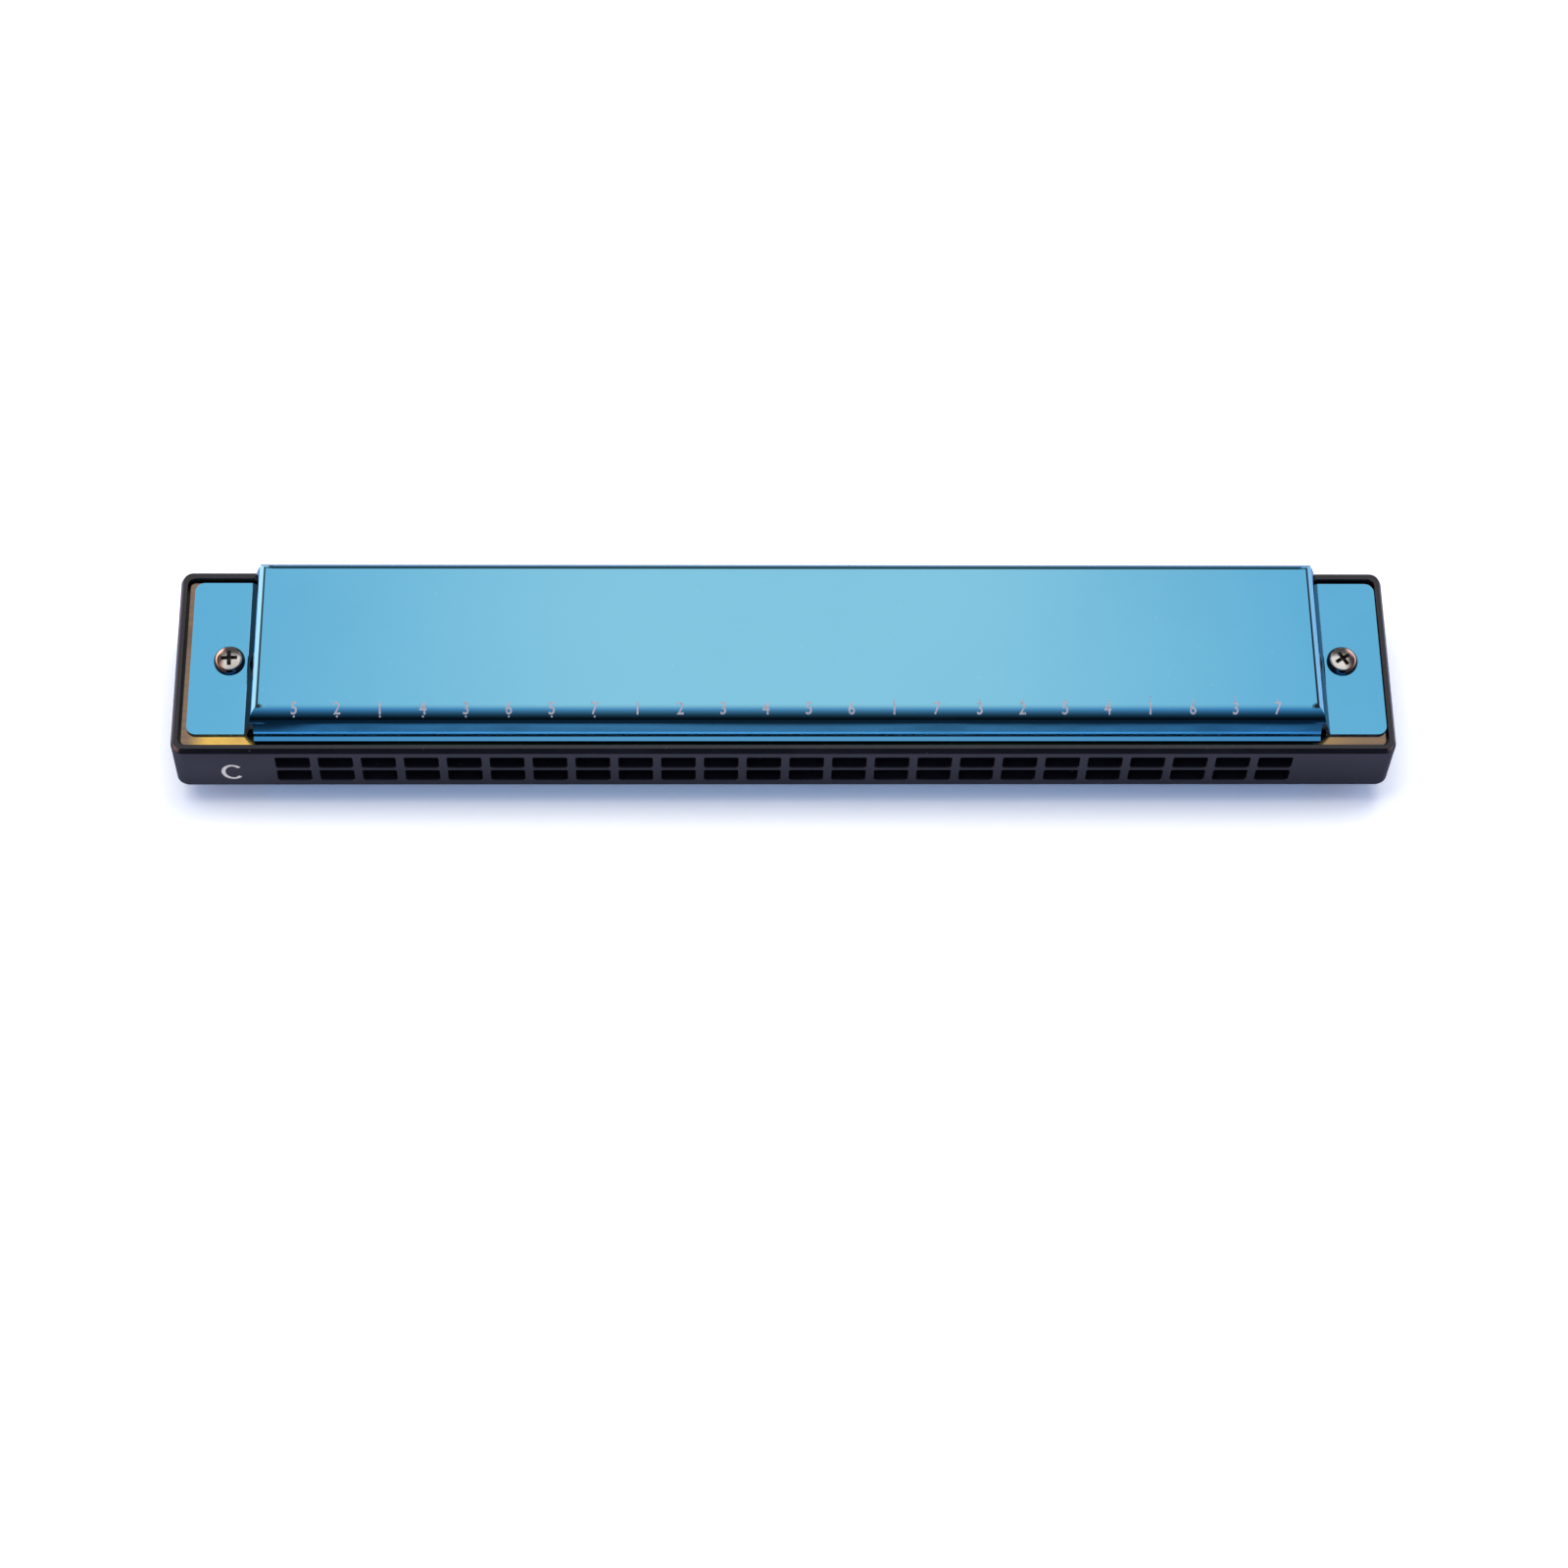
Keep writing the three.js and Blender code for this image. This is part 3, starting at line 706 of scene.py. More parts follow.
def reed_tree(values):
    """Draws the tongue out to its length, lifts its tip and sets the rivet in its pad."""
    tree, sizes = geometry_tree("reed", values)
    along = parts_of(tree, node(tree, "GeometryNodeInputPosition").outputs[0])["Y"]
    share = maths(tree, "MAXIMUM", minus(tree, along, sizes["Root"]), 0.0)
    further = times(tree, share, minus(tree, sizes["Tongue"], 1.0))
    rise = times(tree, maths(tree, "POWER", share, 2.0), sizes["Tip Lift"])
    drawn = {"Geometry": sizes["Geometry"], "Offset": vector(tree, 0.0, further, rise)}
    tongue = node(tree, "GeometryNodeSetPosition", drawn).outputs[0]
    riveted = boolean(tree, "UNION", tongue, shape_of(tree, sizes["Rivet"]))
    return end_tree(tree, riveted, sizes["Material"])


pad_top = reed_seat + pad_thickness
rivet_profile = [(rivet_radius - rivet_end_round, -rivet_tail), (rivet_radius, rivet_end_round - rivet_tail)]
rivet_profile += [(radius, pad_top - rivet_head_sink) for radius in (rivet_radius, rivet_head_radius)]
rivet_profile += crown(rivet_head_radius, pad_top + rivet_head_height / 6, 5 * rivet_head_height / 6)
rivet = added("rivet", turned("rivet", rivet_profile, rivet_sides))
reed_brass = brass("filed reed brass", (0.76, 0.55, 0.26), (0.66, 0.44, 0.20), 4200.0, 0.2)
reed_values = {
    "Rivet": rivet,
    "Root": pad_length / 2,
    "Tongue": 1.0,
    "Tip Lift": reed_tip_lift,
    "Material": reed_brass,
}
growing_reed = reed_tree(reed_values)
for column in range(column_count):
    blows = column % 2 == 0
    slot_length = longest_slot + (shortest_slot - longest_slot) * column / (column_count - 1)
    reed_values["Tongue"] = rivet_to_slot + slot_length - reed_tip_clearance - pad_length / 2
    reed_mesh = grown("reed", reed_blank(), growing_reed, reed_values)
    behind_slot = slot_front + slot_length + rivet_to_slot
    column_place = (column - (column_count - 1) / 2) * column_pitch
    rivet_place = (column_place, behind_slot if blows else draw_slot_front - rivet_to_slot)
    turn_over = Matrix.Rotation(math.pi if blows else 0, 4, "X")
    reed_mesh.transform(Matrix.Translation((*rivet_place, seat_height if blows else plate_top)) @ turn_over)
    reed_name = f"{{}}_reed_{column + 1:02d}"
    on_both_sides(reed_mesh, f"{{}}_tongue_{column + 1:02d}", reed_name, "reed_brass", reed_name)

# Covers: one blank of blue mirror-finished sheet steel on each side. A flap is
# folded down in front and a low hem at the back, and at each end a wall and a
# flange, which a screw holds down on the reed plate.
cover_top = cover_high.z - comb_middle
sheet_thickness = 0.45
flange_top = plate_top + sheet_thickness
flange_end = cover_high.x - cover_middle
flange_corner_radius = 1.4
cover_foot = cover_low.y
flap_depth = 1.0
cover_front = cover_foot + flap_depth
flange_setback = 0.6
flange_back = plate_high.y + plate_clearance - flange_setback
front_lean = math.radians(15.4)
front_bend_radius = 2.7
screw_to_wall = 2.7
wall_run = 1.6
tray_foot_end = screw_reach - screw_to_wall
tray_top_end = tray_foot_end - wall_run
tray_back = cover_high.y
end_bend_radius = 1.4
end_fold_radius = 0.1
hem_radius = 1.4
hem_drop = 1.8
flap_corner_radius = 1.0
lip_run = 0.4
lip_foot = cover_foot - lip_run
lip_height = 0.82
lip_rise = 0.3
lip_round = 0.12
lip_fillet = 0.25
bend_steps = 14
cover_stations = 52
deeper_blue_span = (0.015, 0.095)
flap_haze_span = (-0.0122, -0.0128)


def bent_line(corners):
    """The outer line of bent sheet and the way it faces, from corners with their bend radii."""
    line = []
    places = [Vector(corner[:2]) for corner in corners]
    for index, place in enumerate(places):
        comes = (place - places[index - 1]).normalized() if index else None
        goes = (places[index + 1] - place).normalized() if index + 1 < len(places) else None
        if comes is None or goes is None:
            way = goes or comes
            line.append((place, Vector((-way.y, way.x))))
            continue
        radius = corners[index][2]
        turn = math.asin(comes.x * goes.y - comes.y * goes.x)
        side = math.copysign(1, turn)
        facing = Vector((-comes.y, comes.x))
        centre = place - comes * radius * math.tan(abs(turn) / 2) + facing * side * radius
        for step in range(bend_steps + 1):
            share = turn * step / bend_steps
            out = Vector((
                facing.x * math.cos(share) - facing.y * math.sin(share),
                facing.x * math.sin(share) + facing.y * math.cos(share),
            ))
            line.append((centre - out * side * radius, out))
    return line


def prism(name, outline, axis, stations):
    """A closed block with one outline, from station to station along an axis."""
    return shaped(name, carried(outline, axis, stations))


def inside(line):
    return [place - out * sheet_thickness for place, out in line]


def cover_plan():
    """The cover from above: the flap stands ahead of the flanges, the tray reaches over the rear rim."""
    radius = flange_corner_radius
    corner = []
    for turn in quarter_turns(corner_steps):
        corner.append((radius * (math.cos(turn) - 1), radius * (math.sin(turn) - 1)))
    right = [(tray_top_end, comb_front), (tray_top_end, cover_front)]
    right += [(flange_end + x, cover_front - y) for x, y in reversed(corner)]
    right += [(flange_end + x, flange_back + y) for x, y in corner]
    right += [(tray_top_end, flange_back), (tray_top_end, tray_back)]
    return right + [(-x, y) for x, y in reversed(right)]


def flap_corner(end):
    """What is cut off the flap to round its lower corner at one end."""
    middle, height = tray_top_end - flap_corner_radius, plate_top + flap_corner_radius
    beyond, below = middle + flap_corner_radius + overrun, plate_top - overrun
    outline = [(beyond, height), (beyond, below), (middle, below)]
    for turn in quarter_turns(corner_steps):
        x = middle + flap_corner_radius * math.sin(turn)
        outline.append((x, height - flap_corner_radius * math.cos(turn)))
    return prism("flap corner", [(end * x, z) for x, z in outline], "Y", (comb_front, cover_front))


def cover_tree(values):
    """Folds the cover from its two sections, trims it to its plan and cuts its screw holes."""
    tree, sizes = geometry_tree("folded cover", values)
    names = ("Outer Ends", "Inner Sides", "Inner Ends", "Plan", "Left Corner", "Right Corner")
    outer_ends, inner_sides, inner_ends, plan, *corners = [shape_of(tree, sizes[name]) for name in names]
    outer = boolean(tree, "INTERSECT", sizes["Geometry"], outer_ends)
    inner = boolean(tree, "INTERSECT", inner_sides, inner_ends)
    sheet = painted(tree, boolean(tree, "DIFFERENCE", outer, inner), sizes["Material"])
    around = {"Size": vector(tree, sizes["Length"], sizes["Width"], sizes["Height"])}
    block = node(tree, "GeometryNodeMeshCube", around).outputs[0]
    cutters = [boolean(tree, "DIFFERENCE", block, plan), *corners, screw_holes(tree, sizes, "Screw Hole")]
    sheared = [painted(tree, cutter, sizes["Edge Material"]) for cutter in cutters]
    trimmed = boolean(tree, "DIFFERENCE", sheet, *sheared)
    return end_tree(tree, trimmed, sizes["Material"], sizes["Edge Material"])


def blue_steel():
    """Mirror-bright blue plating, deeper towards the ends, with wiped lines and faint finger marks."""
    made, tree, skin = material_tree("blue mirror steel")
    marks = placed(tree, marks_group, {"Patch Scale": 38.0})
    lines = placed(tree, lines_group, {"Across": 3200.0, "Along": 55.0})["Lines"]
    place = object_place(tree)
    across, depth, _ = parts_of(tree, place)
    out = faded(tree, maths(tree, "ABSOLUTE", across), *deeper_blue_span)
    cloud = minus(tree, noise(tree, place, 22.0, 3.0), 0.5)
    shifted = plus(tree, out, times(tree, cloud, 0.35))
    body = blended(tree, shifted, (0.225, 0.56, 0.745, 1), (0.12, 0.43, 0.68, 1))
    dusty = times(tree, marks["Dust"], dust_strength)
    hazy = faded(tree, marks["Patches"], 0, 1, 0.045, 0.12)
    bowed = bump(tree, noise(tree, place, 34.0, 0.0), 1.0, 0.00013)
    filled(tree, skin, {
        "Base Color": blended(tree, dusty, body, (0.62, 0.80, 0.88, 1)),
        "Roughness": plus(tree, hazy, faded(tree, depth, *flap_haze_span, 0, 0.07)),
        "Metallic": 1,
        "Normal": bump(tree, lines, 0.1, 0.000004, Normal=bowed),
    })
    return made


def spotted_metal(name, scale, detail, spread, dark, pale, roughness, metallic):
    """Metal left torn or dirty, its dark tones partly painted shade, in darker and paler spots."""
    made, tree, skin = material_tree(name)
    spots = noise(tree, object_place(tree), scale, detail)
    filled(tree, skin, {
        "Base Color": blended(tree, faded(tree, spots, *spread), (*dark, 1), (*pale, 1)),
        "Roughness": faded(tree, spots, 0.3, 0.7, *roughness),
        "Metallic": metallic,
    })
    return made


def side_line(*foot):
    """The cover from front to back in section: its flap from this foot, its top and its hem."""
    return bent_line([
        *foot,
        (cover_foot + front_run, cover_top, front_bend_radius),
        (tray_back, cover_top, hem_radius),
        (tray_back, cover_top - hem_drop),
    ])


front_run = (cover_top - plate_top) * math.tan(front_lean)
lip_root = lip_height + lip_rise
outer_line = side_line(
    (lip_foot, plate_top - overrun),
    (lip_foot, plate_top + lip_height, lip_round),
    (cover_foot + lip_root * math.tan(front_lean), plate_top + lip_root, lip_fillet),
)
inner_line = side_line((cover_foot - overrun * math.tan(front_lean), plate_top - overrun))
right_end = [(tray_top_end, cover_top, end_bend_radius), (tray_foot_end, flange_top, end_fold_radius)]
right_end.append((flange_end, flange_top))
end_to_end = bent_line([(-x, *rest) for x, *rest in reversed(right_end)] + right_end)
below = plate_top - overrun
behind = tray_back + overrun
outer_side = [place for place, _ in outer_line[:-1]] + [Vector((tray_back, below))]
inner_side = inside(inner_line) + [Vector((behind, cover_top - hem_drop)), Vector((behind, below))]
outer_ends = [place for place, _ in end_to_end]
outer_ends += [Vector((flange_end, plate_top)), Vector((-flange_end, plate_top))]
inner_ends = inside(end_to_end)[1:-1]
inner_ends += [Vector((inner_ends[-1].x, below)), Vector((inner_ends[0].x, below))]
stations = [comb_length * (station / cover_stations - 0.5) for station in range(cover_stations + 1)]
blank = skinned("cover blank", carried(outer_side, "X", stations))
# The cover's cut edges are bare steel, painted near black as well as painted shade, such as the dark line
# under each flange's front edge.
edge_shade_tones = ((0.018, 0.03, 0.045), (0.06, 0.10, 0.14), (0.35, 0.55), 0.5)
cover_values = {
    "Outer Ends": prism("outer ends", outer_ends, "Y", (comb_front, tray_back)),
    "Inner Sides": prism("inner sides", inner_side, "X", (-comb_length / 2, comb_length / 2)),
    "Inner Ends": prism("inner ends", inner_ends, "Y", (comb_front, behind)),
    "Plan": prism("plan", cover_plan(), "Z", (below, cover_top + overrun)),
    "Left Corner": flap_corner(-1),
    "Right Corner": flap_corner(1),
    "Screw Middle": 0.0,
    "Screw Reach": screw_reach,
    "Screw Hole": screw_hole_radius,
    "Length": comb_length + overrun,
    "Width": comb_width + overrun,
    "Height": 2 * (cover_top + overrun),
    "Material": blue_steel(),
    "Edge Material": spotted_metal("sheared steel edge", 1500.0, 3.0, (0.4, 0.65), *edge_shade_tones),
}
cover_mesh = grown("upper_blue_cover", blank, cover_tree(cover_values), cover_values)
cover_mesh.transform(Matrix.Translation((cover_middle, 0, 0)))
on_both_sides(cover_mesh, "{}_blue_cover", "harmonica", "blue_cover_steel", "{}_cover")

# Cover screws: nickel-plated pan heads with a cross recess, one at each end of
# each cover. The threaded shank goes through the cover's flange and the reed
# plate into a pilot hole in the comb's end block.
screw_head_radius = 2.3
screw_head_height = 1.08
screw_foot_round = 0.12
screw_shoulder = 0.75
screw_crown_tilt = math.radians(14)
# Between these radii the head is painted dark: painted shade and dark reflection on its shoulder.
dark_rim_start_radius = 1.75
dark_rim_full_radius = 2.05
screw_shank_radius = 0.78
screw_thread_radius = 0.97
screw_thread_pitch = 0.8
screw_bite = 3.2
screw_point = 1.0
screw_tip_radius = 0.06
thread_steps = 20
thread_sides = 3
screw_depth = sheet_thickness + plate_thickness + screw_bite
cross_reach = 1.35
cross_floor_reach = 0.5
cross_wing = 0.62
cross_floor_wing = 0.4
cross_depth = 0.8
cross_turns = {"left": 0.05, "right": 0.55}
screw_sides = 48


def pan_head():
    """The head in section: round shoulders and a shallow crown, from its side to near its middle."""
    centre = screw_head_radius - screw_shoulder
    crown_edge = centre + screw_shoulder * math.sin(screw_crown_tilt)
    crown_radius = crown_edge / math.sin(screw_crown_tilt)
    crown_rise = crown_radius * (1 - math.cos(screw_crown_tilt))
    middle = screw_head_height - crown_rise - screw_shoulder * math.cos(screw_crown_tilt)
    line = []
    for step in range(bend_steps + 1):
        tilt = math.pi / 2 + (screw_crown_tilt - math.pi / 2) * step / bend_steps
        line.append((centre + screw_shoulder * math.sin(tilt), middle + screw_shoulder * math.cos(tilt)))
    for step in range(1, crown_steps):
        tilt = screw_crown_tilt * (1 - step / crown_steps)
        height = screw_head_height - crown_radius * (1 - math.cos(tilt))
        line.append((crown_radius * math.sin(tilt), height))
    return line


def cross_loop(reach, wing, height):
    """A cross from above, as points in order."""
    quarter = [(reach, -wing / 2), (reach, wing / 2), (wing / 2, wing / 2)]
    loop = []
    for turn in range(4):
        around = Matrix.Rotation(math.pi / 2 * turn, 3, "Z")
        loop += [around @ Vector((x, y, height)) for x, y in quarter]
    return loop


def screw_tree(values):
    """Winds the thread on the shank and drives the cross recess into the head."""
    tree, sizes = geometry_tree("cover screw", values)
    winding = {
        "Resolution": thread_steps,
        "Rotations": sizes["Thread Turns"],
        "Start Radius": sizes["Thread Radius"],
        "End Radius": sizes["Thread Radius"],
        "Height": sizes["Thread Rise"],
    }
    helix = node(tree, "GeometryNodeCurveSpiral", winding).outputs[0]
    section = {"Resolution": thread_sides, "Radius": sizes["Thread Size"]}
    ridge = node(tree, "GeometryNodeCurvePrimitiveCircle", section).outputs[0]
    swept = {"Curve": helix, "Profile Curve": ridge, "Fill Caps": True}
    thread = node(tree, "GeometryNodeCurveToMesh", swept).outputs[0]
    start = vector(tree, 0.0, 0.0, sizes["Thread Start"])
    thread = node(tree, "GeometryNodeTransform", {"Geometry": thread, "Translation": start}).outputs[0]
    threaded = painted(tree, boolean(tree, "UNION", sizes["Geometry"], thread), sizes["Material"])
    recess = painted(tree, shape_of(tree, sizes["Recess"]), sizes["Recess Material"])
    driven = boolean(tree, "DIFFERENCE", threaded, recess)
    return end_tree(tree, driven, sizes["Material"], sizes["Recess Material"])


def length_of(tree, place):
    return node(tree, "ShaderNodeVectorMath", {"Vector": place}, operation="LENGTH").outputs["Value"]


def nickel():
    """Bright nickel, a little warm, with dull patches, and a painted dark ring round the head's foot that
    stands in for shade and dark reflections.
    """
    made, tree, skin = material_tree("bright nickel")
    marks = placed(tree, marks_group, {"Patch Scale": 420.0})
    lines = placed(tree, lines_group, {"Across": 2600.0, "Along": 900.0})["Lines"]
    body = blended(tree, marks["Patches"], (0.74, 0.71, 0.68, 1), (0.56, 0.52, 0.48, 1))
    across, depth, _ = parts_of(tree, object_place(tree))
    across = maths(tree, "ABSOLUTE", minus(tree, across, cover_middle * MM))
    across = minus(tree, across, screw_reach * MM)
    from_axis = length_of(tree, vector(tree, across, depth))
    painted_dark_rim = faded(tree, from_axis, dark_rim_start_radius * MM, dark_rim_full_radius * MM)
    filled(tree, skin, {
        "Base Color": blended(tree, painted_dark_rim, body, (0.018, 0.018, 0.022, 1)),
        "Roughness": faded(tree, marks["Patches"], 0, 1, 0.09, 0.22),
        "Metallic": 1,
        "Normal": bump(tree, lines, 0.2, 0.000008),
    })
    return made


screw_profile = [(screw_tip_radius, -screw_depth), (screw_shank_radius, screw_point - screw_depth)]
screw_profile.append((screw_shank_radius, 0))
screw_profile += [(screw_head_radius - screw_foot_round, 0), (screw_head_radius, screw_foot_round)]
screw_profile += pan_head()
cross_floor = cross_loop(cross_floor_reach, cross_floor_wing, screw_head_height - cross_depth)
cross_mouth = cross_loop(cross_reach, cross_wing, screw_head_height)
cross_above = cross_loop(cross_reach, cross_wing, screw_head_height + overrun)
thread_turns = (screw_bite - screw_point) / screw_thread_pitch
# The recess is painted near black: partly dirt, partly painted shade in its hollow.
recess_shade_tones = ((0.012, 0.011, 0.012), (0.09, 0.075, 0.065), (0.3, 0.5), 0.6)
screw_values = {
    "Recess": shaped("recess", [cross_floor, cross_mouth, cross_above]),
    "Thread Radius": screw_shank_radius,
    "Thread Rise": thread_turns * screw_thread_pitch,
    "Thread Start": screw_point - screw_depth,
    "Thread Turns": thread_turns,
    "Thread Size": screw_thread_radius - screw_shank_radius,
    "Material": nickel(),
    "Recess Material": spotted_metal("soiled recess", 1800.0, 2.0, (0.4, 0.7), *recess_shade_tones),
}
screw_blank = turned("screw blank", screw_profile, screw_sides)
screw_mesh = grown("screw", screw_blank, screw_tree(screw_values), screw_values)
for end, way in (("left", -1), ("right", 1)):
    turn = Matrix.Rotation(cross_turns[end], 4, "Z")
    mesh = screw_mesh.copy()
    mesh.transform(Matrix.Translation((cover_middle + way * screw_reach, 0, flange_top)) @ turn)
    screw_name = f"{{}}_{end}_screw"
    on_both_sides(mesh, screw_name + "_head", "harmonica", "screw_nickel", screw_name)

# Note numbers: printed in silver-grey ink on the upper cover, one over each
# column, from its flat top down over the front bend. They are the notes of the
# scale in tremolo order, with dots below the low octave and above the high.
note_row = "521436571234561732541637"
dots_below = (1, 2, 3, 4, 5, 6, 7, 8)
dots_above = (15, 17, 18, 19, 20, 22, 24)
two_dots_above = (21, 23)
number_pitch = 6.25
number_height = 1.9
number_width_share = 0.82
number_boldness = 0.012
number_middle = 0.2
number_top = -9.86
dot_radius = 0.15
dot_gap = 0.3
ink_proud = 0.02
ink_depth = 0.02
number_steps = 12
curve_steps = 6
weld_distance = 0.0001
dot_sides = 12
flat_edge = cover_foot + front_run + front_bend_radius * math.tan((math.pi / 2 - front_lean) / 2)


def on_cover(across, down, out):
    """A place on the cover's top, at a length down the sheet from the numbers' top line."""
    past_edge = down - (number_top - flat_edge)
    if past_edge <= 0:
        return Vector((across, number_top - down, cover_top + out))
    turn = past_edge / front_bend_radius
    radius = front_bend_radius + out
    centre_height = cover_top - front_bend_radius
    return Vector((across, flat_edge - radius * math.sin(turn), centre_height + radius * math.cos(turn)))


def flat_figure(figure):
    """One figure as a thin closed slab, centred across and hanging down from zero."""
    text = bpy.data.curves.new("figure", "FONT")
    text.body = figure
    text.extrude = 1
    text.offset = number_boldness
    text.resolution_u = curve_steps
    made = added("figure", text)
    mesh = bpy.data.meshes.new_from_object(made.evaluated_get(bpy.context.evaluated_depsgraph_get()))
    bpy.data.objects.remove(made)
    shape = bmesh.new()
    shape.from_mesh(mesh)
    bpy.data.meshes.remove(mesh)
    bmesh.ops.remove_doubles(shape, verts=shape.verts, dist=weld_distance)
    xs, ys, _ = zip(*(vert.co for vert in shape.verts))
    middle, top = (min(xs) + max(xs)) / 2, max(ys)
    scale = number_height / (top - min(ys))
    for vert in shape.verts:
        side = (vert.co.x - middle) * scale * number_width_share
        face = ink_proud if vert.co.z > 0 else -ink_depth
        vert.co = (side, (vert.co.y - top) * scale, face)
    return shape


def figure_rows():
    """All the numbers and their dots in one mesh, bent over the cover's front."""
    everything = bmesh.new()
    for column, figure in enumerate(note_row, 1):
        across = number_middle + (column - (column_count + 1) / 2) * number_pitch
        shape = flat_figure(figure)
        for step in range(1, number_steps):
            cut = (0, -number_height * step / number_steps, 0)
            geometry = shape.verts[:] + shape.edges[:] + shape.faces[:]
            bmesh.ops.bisect_plane(shape, geom=geometry, plane_co=cut, plane_no=(0, 1, 0))
        heights = []
        if column in dots_below:
            heights.append(-number_height - dot_gap)
        if column in dots_above + two_dots_above:
            heights.append(dot_gap)
        if column in two_dots_above:
            heights.append(dot_gap + 4 * dot_radius)
        for height in heights:
            middle = Matrix.Translation((0, height, (ink_proud - ink_depth) / 2))
            disc = {"cap_ends": True, "segments": dot_sides, "radius1": dot_radius, "radius2": dot_radius}
            bmesh.ops.create_cone(shape, depth=ink_proud + ink_depth, matrix=middle, **disc)
        for vert in shape.verts:
            vert.co = on_cover(across + vert.co.x, -vert.co.y, vert.co.z)
        part = bpy.data.meshes.new("figure")
        shape.to_mesh(part)
        shape.free()
        everything.from_mesh(part)
        bpy.data.meshes.remove(part)
    bmesh.ops.recalc_face_normals(everything, faces=everything.faces)
    mesh = bpy.data.meshes.new("note_numbers")
    everything.to_mesh(mesh)
    everything.free()
    return mesh


def ink(name, full, thin):
    """Printed ink, thinner in places."""
    made, tree, skin = material_tree(name)
    worn = faded(tree, noise(tree, object_place(tree), 2200.0, 3.0), 0.45, 0.7)
    filled(tree, skin, {
        "Base Color": blended(tree, worn, (*full, 1), (*thin, 1)),
        "Roughness": faded(tree, worn, 0, 1, 0.35, 0.55),
    })
    return made


numbers = figure_rows()
numbers.materials.append(ink("silver ink", (0.45, 0.42, 0.46), (0.30, 0.33, 0.38)))
finished("note_numbers", numbers, "harmonica", "blue_cover_steel")

# Key letter: the note that the harmonica is tuned to, hot-stamped in pale foil
# on the front of the comb's left end block.
letter_place = (-81.33, -0.8)
letter_half_width = 1.66
letter_half_height = 2.1
letter_stem = 0.58
letter_bar = 0.44
letter_opening = math.radians(42)
letter_steps = 40


def letter_mesh():
    """An open ring, as a thin closed ribbon that lies on the front face."""
    across, height = letter_place
    loops = []
    for step in range(letter_steps + 1):
        turn = letter_opening + (2 * math.pi - 2 * letter_opening) * step / letter_steps
        way = Vector((math.cos(turn), 0, math.sin(turn)))
        loop = []
        for inset, depth in ((0, -ink_proud), (1, -ink_proud), (1, ink_depth), (0, ink_depth)):
            out = way.x * (letter_half_width - inset * letter_stem)
            up = way.z * (letter_half_height - inset * letter_bar)
            loop.append(Vector((across + out, comb_front + depth, height + up)))
        loops.append(loop)
    return skinned("key_letter", loops)


letter = letter_mesh()
letter.materials.append(ink("pale foil", (0.95, 0.88, 0.74), (0.72, 0.66, 0.56)))
finished("key_letter", letter, "harmonica", "comb_plastic")
for scrap in [made for made in bpy.data.objects if made.parent is None and made.type == "MESH"]:
    bpy.data.objects.remove(scrap)

# Studio: a pale table under the harmonica, soft light from above, behind and
# both sides, and the camera above the front edge.
table_half = 3.0
table_drop = 0.0002
table_white_near = 0.3
table_white_far = 0.7
ceiling_shades = (
    (0.0, 0.004), (0.08, 0.010), (0.187, 0.07), (0.292, 0.22), (0.392, 0.48), (0.498, 0.87),
    (0.56, 1.0), (0.685, 1.0), (0.71, 0.5), (0.75, 0.12), (0.85, 0.06), (0.9, 0.2), (1.0, 0.45),
)
screen_shades = (
    (0.0, 0.8), (0.3, 1.0), (0.5, 1.0), (0.58, 0.6), (0.66, 0.04), (0.83, 0.04), (0.9, 0.2), (1.0, 0.2),
)
left_screen_colour = (3.4, 2.0, 1.7)
right_screen_colour = (1.85, 1.25, 1.25)
front_sky_tint = (0.65, 1.0, 1.4)
low_front_colour = (3.4, 7.3, 12.0)
fill_light = (0.42, 0.49, 0.70)
key_colour = (1.0, 0.92, 0.72)
key_power = 6.2
key_length = 1.0
key_width = 0.42
key_place = Vector((-0.05, 0.09, 1.0))
table_colour = (0.88, 0.89, 0.95)
table_seen_colour = (1.4, 1.4, 1.4)
mirrored_tint = (0.58, 1.0, 1.4)
mirrored_near_tint = (0.73, 0.76, 1.06)
mirrored_front = -0.075
mirrored_back = 0.025
mirrored_left_shift = 0.03
shift_span = (-0.070, -0.080)
near_tint_span = (0.37, 0.42)
table_side_span = (0.115, 0.135)
table_side_front = (-0.10, -0.07)
table_side_middle = 0.01
screen_span = (0.24, 0.42)
screen_middle = 0.3
front_sky_span = (0.5, 0.38)
low_front_rise = (0.09, 0.13)
low_front_fall = (0.26, 0.21)
mirrored_shades = (
    (0.0, 0.03), (0.29, 0.03), (0.305, 0.5), (0.320, 0.32), (0.334, 0.15), (0.36, 0.25), (0.42, 0.4),
    (0.51, 0.62), (0.57, 0.32), (0.62, 0.3), (0.75, 0.6), (1.0, 0.6),
)
camera_elevation = math.radians(61.42)
camera_yaw = math.radians(2.95)
camera_roll = math.radians(-2.57)
camera_distance = 594.7 * MM
camera_shift = Vector((0.08, 18.36)) * MM
camera_lens = 92.1


def shade_ramp(tree, value, shades, tint=(1, 1, 1)):
    """Grey or tinted shades along a value from 0 to 1."""
    made = node(tree, "ShaderNodeValToRGB", {"Fac": value})
    stops = made.color_ramp.elements
    stops[0].position = shades[0][0]
    stops[1].position = shades[-1][0]
    for position, _ in shades[1:-1]:
        stops.new(position)
    for stop, (_, shade) in zip(stops, shades):
        stop.color = (*(shade * part for part in tint), 1)
    return made.outputs[0]


def screen_colours(tree, across, middle):
    """The left screen's colour, which turns into the right one's over a middle stretch."""
    right = faded(tree, across, -middle, middle)
    return blended(tree, right, (*left_screen_colour, 1), (*right_screen_colour, 1))


